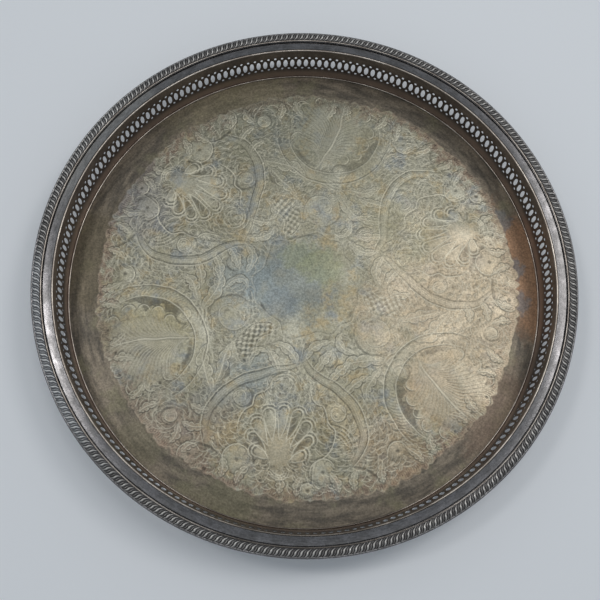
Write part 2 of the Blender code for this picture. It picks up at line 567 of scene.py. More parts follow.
# Silver plate on a rolled brass sheet, chased by hand and never repolished. Tarnish lies over the field
# in olive, gold and blue-grey patches, cuts and pits fill dark, and rubbed ridges stay pale. The plain
# border is a dull brown. The grain of old plate is too fine to show, so its mottle is drawn at 1.3 mm and
# its polishing rings at 1.4 mm.
FLOOR_PLATE = ChasedPlate(
    name="chased_silver_plate_olive_tarnish",
    silver="#AEAA97",
    shade="#9C967E",
    hollow="#34312A",
    crest="#DAD3BC",
    metallic=0.55,
    roughness=0.44,
    mottle_mm=1.3,
    mottle=0.36,
    grain=0.7,
    streak=0.10,
    hollow_strength=0.86,
    crest_strength=0.80,
    border="#827767",
    border_shade="#5C554B",
    gold="#AB9A76",
    blue="#878C8C",
    stains_and_painted_light=(
        StainAndPaintedLight(122, -20, 74, "#CDB99C", 0.65),
        StainAndPaintedLight(-12, 6, 30, "#7F8785", 0.7),
        StainAndPaintedLight(12, 14, 15, "#8D9070", 0.6),
        StainAndPaintedLight(-20, -14, 13, "#767F84", 0.5),
        StainAndPaintedLight(-6, 22, 12, "#8B8E6E", 0.5),
        StainAndPaintedLight(-125, 58, 24, "#8A8784", 0.6),
        StainAndPaintedLight(-62, -104, 15, "#A68E64", 0.6),
        StainAndPaintedLight(-92, -112, 26, "#937E6C", 0.6),
        StainAndPaintedLight(-138, -40, 16, "#8B8168", 0.5),
        StainAndPaintedLight(-128, 84, 20, "#84817C", 0.5),
        StainAndPaintedLight(60, -120, 26, "#A78E70", 0.5),
        StainAndPaintedLight(96, -84, 24, "#AE9676", 0.5),
        StainAndPaintedLight(-66, -88, 16, "#868783", 0.5),
        StainAndPaintedLight(24, -98, 18, "#A5936C", 0.5),
        StainAndPaintedLight(-44, 2, 22, "#8F9999", 0.55),
        StainAndPaintedLight(-36, -66, 15, "#8A9392", 0.5),
        StainAndPaintedLight(-104, -34, 24, "#A69C77", 0.5),
        StainAndPaintedLight(-22, -126, 24, "#A29172", 0.5),
        StainAndPaintedLight(70, 40, 30, "#A69F80", 0.4),
        StainAndPaintedLight(-20, 150, 70, "#7F7F6C", 0.45),
        StainAndPaintedLight(-130, -70, 40, "#8E8676", 0.4),
    ),
    border_stains=(
        StainAndPaintedLight(165, 10, 50, "#9C7759", 0.8),
        StainAndPaintedLight(135, -95, 36, "#84705F", 0.6),
        StainAndPaintedLight(-55, -156, 20, "#77725A", 0.6),
        StainAndPaintedLight(-118, -116, 18, "#716B55", 0.5),
        StainAndPaintedLight(-162, 20, 40, "#645A45", 0.6),
        StainAndPaintedLight(-60, 150, 50, "#8D8368", 0.5),
        StainAndPaintedLight(157, 14, 8, "#72706F", 0.75),
        StainAndPaintedLight(158, -12, 9, "#72706F", 0.7),
        StainAndPaintedLight(149, 52, 9, "#6C6B6A", 0.7),
    ),
)
# The same plate where nobody polishes: the foot and the underside, an even brown with faint rings.
FOOT_PLATE = TarnishedPlate(
    name="rolled_silver_plate_brown_tarnish",
    silver="#7F7466",
    shade="#6E665C",
    hollow="#3A332C",
    crest="#A89A84",
    metallic=0.7,
    roughness=0.42,
    streak=0.08,
)
# Pressed and pierced plate, worn thin, so copper bleeds through as a red-brown. It darkens round the
# holes, where no cloth reaches, and stays paler along the foot of the wall.
GALLERY_PLATE = TarnishedPlate(
    name="pierced_silver_plate_copper_bleed",
    silver="#857A72",
    shade="#6C625C",
    hollow="#4B403B",
    crest="#AC9687",
    metallic=0.75,
    roughness=0.40,
    cloud_mm=18.0,
    mottle=0.25,
    hollow_strength=0.6,
    crest_strength=0.8,
)
# The sheet's cut thickness inside the holes: bare, matt and dark. On the near side, where the holes are
# seen edge on, a painted highlight lies on the ovals' edges, white at the near left and pale grey at the
# near right, standing in for the bright table seen through the holes. The small holes' edges stay dark.
CUT_EDGE_PLATE = TarnishedPlate(
    name="pierced_edges_painted_highlight_near_side",
    silver="#5E5854",
    shade="#4C4743",
    hollow="#37322F",
    crest="#49433F",
    metallic=0.0,
    roughness=0.6,
    hollow_strength=0.0,
    crest_strength=1.0,
    crest_from="dots",
    mottle=0.08,
    stains_and_painted_light=(
        # Painted highlights: white on the near left, pale grey on the near right.
        StainAndPaintedLight(-150, -100, 84, "#FFFFFF", 0.95),
        StainAndPaintedLight(110, -150, 60, "#DADDE0", 0.85),
    ),
)
# Spun silver plate, rubbed smooth by hands and cloths: a grey, fairly sharp mirror with rings of fine
# wear. The wear is finer than a millimetre and is drawn at 0.9 mm, so that it shows.
RIM_PLATE = TarnishedPlate(
    name="drawn_silver_plate_grey_tarnish",
    silver="#838080",
    shade="#6C6A69",
    hollow="#252322",
    crest="#B9B4AA",
    metallic=1.0,
    roughness=0.27,
    streak=0.22,
    streak_mm=0.9,
    cloud_mm=12.0,
    mottle_mm=1.2,
    mottle=0.2,
    grain=0.3,
    hollow_strength=0.9,
    stains_and_painted_light=(
        StainAndPaintedLight(186, -8, 44, "#5F5D5C", 0.75),
        StainAndPaintedLight(-150, 105, 60, "#A5A29D", 0.6),
    ),
)
# Cast and plated border: tarnish stays black in the hollows between the lobes, and their crests are
# rubbed pale.
GADROON_PLATE = TarnishedPlate(
    name="cast_silver_plate_dark_hollows_painted_highlight",
    silver="#9F9B97",
    shade="#868280",
    hollow="#2F2D2D",
    crest="#CBC7C0",
    metallic=1.0,
    roughness=0.40,
    stains_and_painted_light=(
        # The first cloud is a painted highlight on the lower left; the second one makes the upper left paler.
        StainAndPaintedLight(-180, -60, 72, "#D2D4D6", 0.8),
        StainAndPaintedLight(-150, 115, 40, "#B4B2AF", 0.6),
    ),
    cloud_mm=16.0,
    hollow_strength=0.85,
    crest_strength=0.7,
)
# Drawn wire, which stands proud and is rubbed brighter and warmer than the sheet beside it. Along the
# near edge it carries painted shade, a dark cloud.
WIRE_PLATE = TarnishedPlate(
    name="drawn_wire_worn_bright_painted_near_shade",
    silver="#BEB4A9",
    shade="#968B81",
    hollow="#4A4036",
    crest="#D8D0BE",
    metallic=1.0,
    roughness=0.32,
    cloud_mm=14.0,
    mottle=0.08,
    grain=0.02,
    # Painted shade: a dark cloud over the wires along the near edge.
    stains_and_painted_light=(StainAndPaintedLight(0, -176, 78, "#5B544D", 0.85),),
)


@dataclass
class FootRing:
    """The low ring under the floor that the tray stands on."""

    bevel: float = 0.5 * MM
    width: float = 4.2 * MM

    def build(self) -> None:
        """Turns the ring and dresses it."""
        low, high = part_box("foot_ring")
        outer = high.x
        inner = outer - self.width
        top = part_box("floor_plate")[0].z
        outline = [
            (inner, self.bevel),
            (inner + self.bevel, low.z),
            (outer - self.bevel, low.z),
            (outer, self.bevel),
            (outer, top),
            (inner, top),
        ]
        ring = turn_outline("foot_ring_turned", outline)
        ring.data.materials.append(FOOT_PLATE.make())
        fit_in_place(ring, "foot_ring")


@dataclass
class Wires:
    """The drawn wires soldered along the tray's edges."""

    half_widths: tuple[tuple[str, float], ...] = (
        ("floor_bead", 0.50 * MM),
        ("rim_lip_wire", 0.68 * MM),
        ("reed_wire", 0.45 * MM),
    )

    def build(self) -> None:
        """Turns each wire in place of its square CAD stand-in."""
        material = WIRE_PLATE.make()
        for node, half_width in self.half_widths:
            low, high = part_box(node)
            half = (high.z - low.z) / 2
            outline = oval_outline(high.x - half, (high.z + low.z) / 2, half_width, half)
            wire = turn_outline(node + "_drawn", outline)
            wire.data.materials.append(material)
            fit_in_place(wire, node)


@dataclass
class Rim:
    """The flat brim round the top of the gallery, and the wire that closes its edge."""

    width: float = 11.8 * MM
    sheet: float = 0.9 * MM
    steps: int = 8
    dish: float = 0.5 * MM
    inner_drop: float = 0.5 * MM
    groove: float = 182.85 * MM
    groove_half: float = 0.4 * MM
    groove_depth: float = 0.35 * MM
    edge_half: float = 0.9 * MM
    edge_sides: int = 16

    def build(self) -> None:
        """Turns the brim and the edge wire and dresses them."""
        material = RIM_PLATE.make()
        self.brim(material)
        self.edge_wire(material)

    def brim(self, material: bpy.types.Material) -> None:
        """Turns the dished brim, with the dark groove inside the reed wire.

        Args:
            material: The brim's finish.
        """
        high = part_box("rim_flange")[1]
        outer, inner = high.x, high.x - self.width
        groove = [self.groove - self.groove_half, self.groove, self.groove + self.groove_half]
        steps = [inner + step / self.steps * (outer - inner) for step in range(self.steps + 1)]
        radii = sorted(steps + groove)
        outline = []
        for radius in radii:
            part = (radius - inner) / (outer - inner)
            height = high.z - self.inner_drop * (1 - part) - self.dish * math.sin(math.pi * part)
            outline.append((radius, height - (self.groove_depth if radius == self.groove else 0)))
        under = [(outer, outline[-1][1] - self.sheet), (inner, outline[0][1] - self.sheet)]
        brim = turn_outline("rim_flange_spun", outline + under)
        places = vertex_places(brim)
        away = np.abs(np.hypot(places[:, 0], places[:, 1]) - self.groove)
        mark(brim, "hollow", np.clip(1 - away / self.groove_half, 0, 1))
        brim.data.materials.append(material)
        fit_in_place(brim, "rim_flange")

    def edge_wire(self, material: bpy.types.Material) -> None:
        """Turns the wire that closes the tray's outer edge.

        Args:
            material: The wire's finish.
        """
        low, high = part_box("edge_wire")
        middle, half_height = (low.z + high.z) / 2, (high.z - low.z) / 2
        outline = oval_outline(high.x - self.edge_half, middle, self.edge_half, half_height, self.edge_sides)
        edge = turn_outline("edge_wire_drawn", outline)
        edge.data.materials.append(material)
        fit_in_place(edge, "edge_wire")


def repeat_along(piece: bpy.types.Object, count: int, merge: float) -> None:
    """Arrays one repeat, a unit long in x, into a strip and joins the repeats.

    Args:
        piece: The repeat, which becomes the strip.
        count: How many repeats there are.
        merge: How close two vertices of neighbours may be before they become one.
    """
    apply_modifier(
        piece,
        "ARRAY",
        count=count,
        use_relative_offset=False,
        use_constant_offset=True,
        constant_offset_displace=(1.0, 0.0, 0.0),
        use_merge_vertices=True,
        merge_threshold=merge,
    )


def wrap_round(
    piece: bpy.types.Object, count: int, radius_at: Callable[[np.ndarray, np.ndarray], np.ndarray]
) -> None:
    """Bends a flat strip, one unit long for each repeat, round the tray's axis.

    Args:
        piece: A strip whose x counts repeats, whose y is the place across it and whose z is its height.
        count: How many repeats go once round.
        radius_at: Turns the y and z columns into a radius in metres.
    """
    flat = vertex_places(piece)
    angle = -flat[:, 0] * math.tau / count
    radius = radius_at(flat[:, 1], flat[:, 2])
    place_vertices(piece, np.column_stack([radius * np.cos(angle), radius * np.sin(angle), flat[:, 2]]))


@dataclass
class Gadroons:
    """The cast border: a row of S-shaped lobes in three soldered sections."""

    lobes: int = 304
    sections: int = 3
    first_seam: float = math.radians(33)
    across: int = 16
    along: int = 9
    lean: float = 1.15
    height: float = 1.25 * MM
    foot: float = 0.55 * MM
    inner_gap: float = 0.35 * MM
    outer_gap: float = 0.9 * MM

    def build(self) -> None:
        """Models one lobe, repeats it for each section, wraps the sections and dresses them."""
        material = GADROON_PLATE.make()
        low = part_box("rim_flange")[1].z
        per_section = [self.lobes // self.sections] * self.sections
        for extra in range(self.lobes - sum(per_section)):
            per_section[extra] += 1
        start = -self.first_seam * self.lobes / math.tau
        for number, count in enumerate(per_section):
            section = self.lobe(f"gadroons_cast_{number + 1}")
            repeat_along(section, count, 0.0001)
            places = vertex_places(section)
            places[:, 0] += start - count
            place_vertices(section, places)
            wrap_round(section, self.lobes, lambda radius, height: radius)
            start -= count
            close_downwards(section, low)
            clean_up(section, smooth_degrees=60)
            section.data.materials.append(material)
            fit_in_place(section, f"gadroon_section_{number + 1}")

    def lobe(self, name: str) -> bpy.types.Object:
        """Shapes one lobe, with a thin fillet beside it.

        Args:
            name: The piece's name.

        Returns:
            The lobe, whose x runs along the border in lobes, with y for its radius and z for its height.
        """
        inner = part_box("reed_wire")[1].x + self.inner_gap
        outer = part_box("edge_wire")[1].x - self.outer_gap
        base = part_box("rim_flange")[1].z + self.foot
        deselect()
        bpy.ops.mesh.primitive_grid_add(x_subdivisions=self.across, y_subdivisions=self.along, size=1.0)
        lobe = name_active(name)
        flat = vertex_places(lobe)
        side, out = flat[:, 0], flat[:, 1] + 0.5
        fat = 0.62 + 0.38 * out
        main = np.clip(1 - ((side + 0.12) / 0.24) ** 2, 0, 1) ** 0.7
        fillet = 0.6 * np.clip(1 - ((side - 0.34) / 0.12) ** 2, 0, 1)
        bulge = np.maximum(main, fillet)
        arch = np.sin(np.pi * np.clip(0.06 + 0.9 * out, 0, 1)) ** 0.55
        swing = self.lean * (out + 0.13 * np.sin(math.tau * out))
        height = base + self.height * arch * (0.25 + 0.75 * bulge * fat)
        places = np.column_stack([side + 0.5 + swing, inner + out * (outer - inner), height])
        place_vertices(lobe, places)
        crest = np.clip(bulge * arch, 0, 1) ** 3
        hollow = np.clip(1 - 1.25 * bulge * arch, 0, 1)
        mark(lobe, "crest", crest)
        mark(lobe, "hollow", hollow)
        return lobe


@dataclass
class Gallery:
    """The pierced wall: a row of upright ovals between two rows of small round holes."""

    count: int = 208
    sheet: float = 0.45 * MM
    oval_half: tuple[float, float] = (1.68 * MM, 4.5 * MM)
    dot_half: tuple[float, float] = (1.0 * MM, 1.25 * MM)
    oval_sides: int = 20
    dot_sides: int = 10
    dot_gap: float = 6.0 * MM
    dot_strip: float = 1.5 * MM
    oval_strip: float = 4.7 * MM
    oval_drop: float = 17.5 * MM
    dark_margin: float = 2.2 * MM
    pitch_radius: float = 0.175
    inner_radii: tuple[float, float] = (0.1740, 0.1764)

    def build(self) -> None:
        """Repeats the piercing, wraps it into the wall, gives it the sheet's thickness and dresses it."""
        low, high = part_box("gallery_band")
        oval_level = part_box("edge_wire")[1].z - self.oval_drop
        wall = self.one_repeat(oval_level)
        repeat_along(wall, self.count, 0.00001)
        inner_low, inner_high = self.inner_radii

        def cone(across: np.ndarray, height: np.ndarray) -> np.ndarray:
            """The wall's inner radius, which widens with height."""
            rise = (height - low.z) / (high.z - low.z)
            return inner_low + rise * (inner_high - inner_low) + across

        wrap_round(wall, self.count, cone)
        clean_up(wall)
        inwards = wall.data.polygons[0]
        if inwards.normal.dot(inwards.center) > 0:
            wall.data.flip_normals()
        wall.data.materials.append(GALLERY_PLATE.make())
        wall.data.materials.append(CUT_EDGE_PLATE.make())
        heights = vertex_places(wall)[:, 2]
        row_reach = self.dot_gap + self.dark_margin
        mark(wall, "hollow", np.clip((row_reach - np.abs(heights - oval_level)) / (2 * MM), 0, 1))
        mark(wall, "crest", np.clip((oval_level - row_reach - heights) / (3 * MM), 0, 1))
        mark(wall, "dots", np.abs(heights - oval_level) > self.oval_half[1] + 0.1 * MM)
        apply_modifier(wall, "SOLIDIFY", thickness=self.sheet, offset=-1.0, material_offset_rim=1)
        clean_up(wall, smooth_degrees=35)
        fit_in_place(wall, "gallery_band")

    def one_repeat(self, oval_level: float) -> bpy.types.Object:
        """Joins one oval, its small holes and the plain strips above and below them.

        Args:
            oval_level: The height of the oval's middle.

        Returns:
            The repeat as a flat sheet, with x in repeats and z in metres.
        """
        rows = (
            (oval_level + self.dot_gap, self.dot_half, self.dot_sides, 0.5),
            (oval_level, self.oval_half, self.oval_sides, 0.0),
            (oval_level - self.dot_gap, self.dot_half, self.dot_sides, 0.5),
        )
        levels = (
            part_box("rim_flange")[0].z,
            oval_level + self.dot_gap + self.dot_strip,
            oval_level + self.oval_strip,
            oval_level - self.oval_strip,
            oval_level - self.dot_gap - self.dot_strip,
            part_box("floor_plate")[1].z,
        )
        parts = [self.plain_strip(levels[0], levels[1], 3), self.plain_strip(levels[4], levels[5], 5)]
        for top, bottom, (level, half, sides, shift) in zip(levels[1:4], levels[2:5], rows):
            parts.append(self.pierced_cell(top, bottom, level, half, sides, shift))
        select_only(parts[0])
        for part in parts[1:]:
            part.select_set(True)
        bpy.ops.object.join()
        repeat = name_active("gallery_pierced")
        clean_up(repeat)
        return repeat

    def plain_strip(self, top: float, bottom: float, cuts: int) -> bpy.types.Object:
        """Makes a plain part of one repeat.

        Args:
            top: The strip's upper edge.
            bottom: Its lower edge.
            cuts: How many faces it is high.

        Returns:
            The strip, two faces wide, so that it meets the cells' corners and middles.
        """
        deselect()
        bpy.ops.mesh.primitive_grid_add(x_subdivisions=2, y_subdivisions=cuts, size=1.0)
        strip = name_active("plain_strip")
        flat = vertex_places(strip)
        height = bottom + (flat[:, 1] + 0.5) * (top - bottom)
        place_vertices(strip, np.column_stack([flat[:, 0], np.zeros(len(flat)), height]))
        return strip

    def pierced_cell(
        self,
        top: float,
        bottom: float,
        level: float,
        half: tuple[float, float],
        sides: int,
        shift: float,
    ) -> bpy.types.Object:
        """One repeat of a row of holes.

        Args:
            top: The row's upper edge.
            bottom: The row's lower edge.
            level: The height of the holes' middles.
            half: Half the hole's width and height, in metres.
            sides: How many sides the hole has.
            shift: How far the holes stand along from the middle of the repeat, in repeats.

        Returns:
            The cell, with x in repeats and z in metres.
        """
        deselect()
        bpy.ops.mesh.primitive_grid_add(x_subdivisions=2, y_subdivisions=2, size=1.0)
        cell = name_active("pierced_cell")
        flat = vertex_places(cell)
        height = bottom + (flat[:, 1] + 0.5) * (top - bottom)
        place_vertices(cell, np.column_stack([flat[:, 0], np.zeros(len(flat)), height]))
        bpy.ops.object.mode_set(mode="EDIT")
        bpy.ops.mesh.select_all(action="SELECT")
        bpy.ops.mesh.delete(type="ONLY_FACE")
        bpy.ops.object.mode_set(mode="OBJECT")
        for vertex in cell.data.vertices:
            vertex.select = abs(vertex.co.x) < 1e-6 and bottom + 1e-6 < vertex.co.z < top - 1e-6
        bpy.ops.object.mode_set(mode="EDIT")
        bpy.ops.mesh.select_mode(type="VERT")
        bpy.ops.mesh.delete(type="VERT")
        bpy.ops.object.mode_set(mode="OBJECT")
        deselect()
        bpy.ops.mesh.primitive_circle_add(vertices=sides, radius=1.0)
        hole = name_active("hole")
        ring = vertex_places(hole)
        pitch = math.tau * self.pitch_radius / self.count
        along, height = ring[:, 0] * half[0] / pitch, level + ring[:, 1] * half[1]
        place_vertices(hole, np.column_stack([along, np.zeros(len(ring)), height]))
        cell.select_set(True)
        bpy.context.view_layer.objects.active = cell
        bpy.ops.object.join()
        bpy.ops.object.mode_set(mode="EDIT")
        bpy.ops.mesh.select_mode(type="EDGE")
        bpy.ops.mesh.select_all(action="SELECT")
        bpy.ops.mesh.bridge_edge_loops()
        bpy.ops.object.mode_set(mode="OBJECT")
        places = vertex_places(cell)
        places[:, 0] += shift
        place_vertices(cell, places)
        return cell


class Tool(Enum):
    """The chaser's tools, by the mark each leaves."""

    LINER = "a cut line that fills with tarnish"
    BURNISHER = "a rubbed ridge that stays bright"
    MODELLER = "a raised, rounded form"
    MATTER = "a punched pit"


@dataclass(frozen=True)
class Stroke:
    """One pass of a tool: places as complex millimetres, with its half width and strength along the way."""

    tool: Tool
    places: np.ndarray
    half_width: np.ndarray
    strength: np.ndarray


def smooth_line(corners: list[complex], step: float = 0.3) -> np.ndarray:
    """Runs a smooth curve through a few given points.

    Args:
        corners: The points, as complex millimetres.
        step: The spacing of the curve's own points, in millimetres.

    Returns:
        The curve's points.
    """
    knots = [2 * corners[0] - corners[1], *corners, 2 * corners[-1] - corners[-2]]
    pieces = []
    for before, start, end, after in zip(knots, knots[1:], knots[2:], knots[3:]):
        part = np.linspace(0, 1, max(2, math.ceil(abs(end - start) / step)), endpoint=False)
        slope = end - before
        square = 2 * before - 5 * start + 4 * end - after
        cube = 3 * start - 3 * end + after - before
        pieces.append(start + 0.5 * (slope * part + square * part**2 + cube * part**3))
    return np.concatenate([*pieces, np.array(corners[-1:])])


def arc(centre: complex, radius: float, start: float, end: float, step: float = 0.3) -> np.ndarray:
    """The points of a round arc.

    Args:
        centre: The arc's middle, as complex millimetres.
        radius: The arc's radius in millimetres.
        start: The first point's direction in degrees.
        end: The last point's direction in degrees.
        step: The spacing of the points, in millimetres.

    Returns:
        The arc's points.
    """
    count = max(3, math.ceil(radius * math.radians(abs(end - start)) / step))
    return centre + radius * np.exp(1j * np.radians(np.linspace(start, end, count)))


def spiral(centre: complex, outer: float, inner: float, start: float, turns: float) -> np.ndarray:
    """The points of a spiral that closes in on its eye.

    Args:
        centre: The eye, as complex millimetres.
        outer: The radius where it starts, in millimetres.
        inner: The radius where it ends.
        start: The first point's direction in degrees.
        turns: How many turns it makes, clockwise when negative.

    Returns:
        The spiral's points.
    """
    count = math.ceil(math.tau * outer * abs(turns) / 0.35)
    part = np.linspace(0, 1, count)
    radius = outer * (inner / outer) ** part
    return centre + radius * np.exp(1j * (math.radians(start) + math.tau * turns * part))


def beside(line: np.ndarray, distance: float | np.ndarray) -> np.ndarray:
    """A line that keeps a distance to the left of another, or to its right where the distance is negative."""
    along = np.gradient(line)
    return line + 1j * distance * along / np.maximum(np.abs(along), 1e-9)


def taken_at(line: np.ndarray, parts: np.ndarray) -> np.ndarray:
    """Picks points along a line.

    Args:
        line: The line.
        parts: How far along each point is, from nought to one.

    Returns:
        The points.
    """
    places = np.clip(parts, 0, 1) * (len(line) - 1)
    steps = np.arange(len(line))
    return np.interp(places, steps, line.real) + 1j * np.interp(places, steps, line.imag)


def crossings(outline: np.ndarray, level: float) -> list[float]:
    """Finds where a closed outline crosses a level.

    Args:
        outline: The outline's corners, with the first one again at the end.
        level: The level, in millimetres north.

    Returns:
        How far east each crossing is, from west to east.
    """
    found = []
    for start, end in zip(outline, outline[1:]):
        if (start.imag > level) != (end.imag > level):
            part = (level - start.imag) / (end.imag - start.imag)
            found.append(start.real + part * (end.real - start.real))
    return sorted(found)


@dataclass
class ChasedPattern:
    """One third of the chased ornament, drawn in millimetres and repeated by turning it about the middle."""

    repeats: int = 3
    field_mm: float = 155.0
    centre: complex = 2.5 + 0j
    scallops: int = 44
    fringe: int = 620
    seed: int = 7
    strokes: list[Stroke] = field(default_factory=list)

    def draw(self) -> None:
        """Draws every motif of one third."""
        self.volute(-57 - 23j, 15, 40)
        self.fan(arc(-57 - 23j, 10.5, 190, 350), arc(-57 - 23j, 14.2, 196, 344), 17, 0.1)
        self.frill(arc(-57 - 23j, 16.4, 20, -70), 1, 7, 4.5)
        self.cartouche()
        self.cartouche_leaf()
        self.shell()
        self.shell_frame()
        self.scroll_stems()
        self.side_leaves()
        self.diaper()
        self.rosettes()
        self.outer_sprays()

    def cut(
        self, tool: Tool, places: np.ndarray, width: float, strength: float = 1.0, taper: float = 0.5
    ) -> None:
        """Adds one stroke.

        Args:
            tool: What makes the mark.
            places: The points along the stroke.
            width: Half the mark's width at its widest, in millimetres.
            strength: The mark's depth, height or darkness, from nought to about one.
            taper: How much of the width and depth goes at the two ends.
        """
        part = np.linspace(0, 1, len(places))
        swell = 1 - taper + taper * np.sin(np.pi * part) ** 0.5
        self.strokes.append(Stroke(tool, places, width * swell, strength * swell))

    def groove(self, places: np.ndarray, width: float = 0.5, strength: float = 1.0) -> None:
        """Cuts a dark line."""
        self.cut(Tool.LINER, places, width, strength)

    def ridge(self, places: np.ndarray, width: float = 0.5, strength: float = 1.0) -> None:
        """Leaves a bright ridge."""
        self.cut(Tool.BURNISHER, places, width, strength)

    def edge(self, places: np.ndarray, side: float = 0.9, width: float = 0.55, strength: float = 1.0) -> None:
        """Cuts a dark line with a bright ridge on its left, or on its right where the side is negative."""
        self.groove(places, width, strength)
        self.ridge(beside(places, side), width * 0.85, strength)

    def swell(self, places: np.ndarray, width: float, strength: float = 0.8) -> None:
        """Raises a rounded form along a line."""
        self.cut(Tool.MODELLER, places[::2], width, strength, taper=0.7)

    def pit(self, *centres: complex, radius: float = 1.0, strength: float = 1.0) -> None:
        """Punches dark pits."""
        for centre in centres:
            self.cut(Tool.MATTER, np.array([centre, centre + 0.01]), radius, strength, taper=0.0)

    def fill(self, corners: list[complex], tool: Tool, strength: float = 1.0, spacing: float = 0.55) -> None:
        """Works all over the inside of an outline with close passes of one tool.

        Args:
            corners: The outline's corners.
            tool: What makes the passes.
            strength: Their depth, height or darkness.
            spacing: How far apart they are, in millimetres.
        """
        outline = np.array(corners + corners[:1])
        low, high = outline.imag.min(), outline.imag.max()
        for level in np.arange(low + spacing / 2, high, spacing):
            ends = crossings(outline, level)
            for left, right in zip(ends[::2], ends[1::2]):
                if right - left > 0.3:
                    row = np.arange(left, right, 0.4) + 1j * level
                    self.cut(tool, row, spacing * 0.95, strength, taper=0.0)

    def fan(self, start: np.ndarray, end: np.ndarray, count: int, bow: float, width: float = 0.38) -> None:
        """Cuts fine bowed lines from one line across to another.

        Args:
            start: The line where the cuts begin.
            end: The line where the cuts end.
            count: How many cuts.
            bow: How far each cut bends to its left, as a part of its length.
            width: Half of each cut's width in millimetres.
        """
        parts = (np.arange(count) + 0.5) / count
        for first, last in zip(taken_at(start, parts), taken_at(end, parts)):
            middle = (first + last) / 2 + 1j * bow * (last - first)
            self.groove(smooth_line([first, middle, last]), width, 0.62)

    def strands(self, start: np.ndarray, end: np.ndarray, count: int, bow: float) -> None:
        """Rubs bright bowed strands from one line across to another.

        Args:
            start: The line where the strands begin.
            end: The line where the strands end.
            count: How many strands.
            bow: How far each strand bends to its left, as a part of its length.
        """
        parts = (np.arange(count) + 0.8) / count
        for first, last in zip(taken_at(start, parts), taken_at(end, parts)):
            middle = (first + last) / 2 + 1j * bow * (last - first)
            self.ridge(smooth_line([first, middle, last]), 0.42, 0.62)

    def frill(self, line: np.ndarray, side: float, count: int, size: float) -> None:
        """Chases a row of small leaf lobes along one side of a line.

        Args:
            line: The line that the lobes grow from.
            side: One for the line's left, or minus one for its right.
            count: How many lobes.
            size: A lobe's reach in millimetres.
        """
        along = np.gradient(line)
        parts = (np.arange(count) + 0.5) / count
        for part, place, way in zip(parts, taken_at(line, parts), taken_at(along, parts)):
            way = way / abs(way)
            uneven = 1.15 if round(part * count) % 2 else 0.85
            reach = size * (0.65 + 0.35 * math.sin(math.pi * part)) * uneven
            out = way * (0.55 + 0.84j * side)
            root = place - way * reach * 0.35
            tip = place + out * reach
            half_way = (root + tip) / 2
            bulge = 1j * side * (tip - root) * 0.42
            curl = tip - out * reach * 0.45 + way * 0.35 * reach
            self.edge(smooth_line([root, half_way + bulge, tip, curl]), -0.8 * side, 0.38, 0.72)
            for lane in (0.12, 0.26):
                vein = [root, half_way + bulge * lane * 2.2, tip - out * reach * lane]
                self.groove(smooth_line(vein), 0.34, 0.7)
            self.swell(smooth_line([root, half_way, tip]), reach * 0.34, 0.6)

    def leaf(
        self, corners: list[complex], width: float, lobes: int, veins: int = 3, tip: float = 0.35
    ) -> None:
        """Chases a leaf: a midrib, two lobed edges and the veins between.

        Args:
            corners: The midrib, from the root to the tip.
            width: Half the leaf's width at its widest, in millimetres.
            lobes: How many lobes each edge has.
            veins: How many veins run to each lobe.
            tip: How far each lobe leans towards the tip, as a part of its width.
        """
        rib = smooth_line(corners)
        part = np.linspace(0, 1, len(rib))
        reach = width * np.sin(np.pi * (0.1 + 0.88 * part)) ** 0.8
        along = np.gradient(rib)
        along = along / np.maximum(np.abs(along), 1e-9)
        lobe = 0.62 + 0.38 * np.abs(np.sin(np.pi * lobes * part)) ** 0.6
        self.swell(rib, width * 0.9, 0.7)
        for side in (1, -1):
            rim = rib + along * reach * tip + 1j * side * along * reach * lobe
            self.edge(rim, side * -0.8, 0.45)
            count = lobes * veins
            steps = (np.arange(count) + 0.6) / count * 0.94
            for first, last in zip(taken_at(rib, steps - 0.06), taken_at(rim, steps)):
                bend = (first + last) / 2 - 1j * side * 0.16 * (last - first)
                self.groove(smooth_line([first, bend, 0.12 * first + 0.88 * last]), 0.34, 0.6)
        self.ridge(rib, 0.6, 0.8)

    def stem(self, corners: list[complex], width: float, lines: int = 3, side: float = 1.0) -> None:
        """Chases a scroll's stem: two edges, lines that run with it and a rounded back.

        Args:
            corners: The stem's middle line.
            width: Half the stem's width at its widest, in millimetres.
            lines: How many lines run with it.
            side: One where its bright edge is on the left, or minus one for the right.
        """
        spine = smooth_line(corners)
        part = np.linspace(0, 1, len(spine))
        reach = width * np.sin(np.pi * (0.06 + 0.9 * part)) ** 0.6
        self.swell(spine, width, 0.8)
        self.edge(beside(spine, reach * side), 0.8 * side, 0.55)
        self.groove(beside(spine, -reach * side), 0.5)
        for number in range(lines):
            lane = (number + 1) / (lines + 1) * 2 - 1
            self.groove(beside(spine, reach * lane), 0.34, 0.6)

    def volute(self, eye: complex, radius: float, start: float, turns: float = 1.5) -> None:
        """Chases a round scroll end: an outer turn, a small curled heart off its middle and hatching between.

        Args:
            eye: The middle of the outer turn.
            radius: The outer turn's radius in millimetres.
            start: The bearing where the outer turn begins, in degrees.
            turns: How far the outer turn runs before it meets the heart.
        """
        heart = eye + radius * 0.2 * np.exp(1j * math.radians(start + 110))
        self.swell(arc(eye, radius * 0.45, 0, 340), radius * 0.6, 0.7)
        self.edge(spiral(eye, radius, radius * 0.55, start, -0.6 * turns), -0.9, 0.48, 0.75)
        self.cut(Tool.LINER, arc(eye, radius + 0.3, start - 10, start + 150), 0.8, 0.9, taper=0.9)
        self.edge(arc(heart, radius * 0.36, start + 220, start - 20), 0.7, 0.42, 0.8)
        self.swell(arc(heart, radius * 0.08, 0, 340), radius * 0.3, 0.9)
        self.cut(Tool.MATTER, arc(heart, radius * 0.14, start, start + 170), max(0.6, radius * 0.06), 0.8)
        hatching = max(6, round(radius * 1.5))
        round_heart = arc(heart, radius * 0.48, start, start + 190)
        self.fan(round_heart, arc(eye, radius * 0.9, start, start + 180), hatching, 0.16, 0.34)
        for number in range(1, max(2, round(radius / 4))):
            ring = radius * (0.95 - 0.6 * number / (radius / 4))
            self.ridge(arc(eye, ring, start + 200 + 30 * number, start + 330 + 20 * number), 0.4, 0.5)

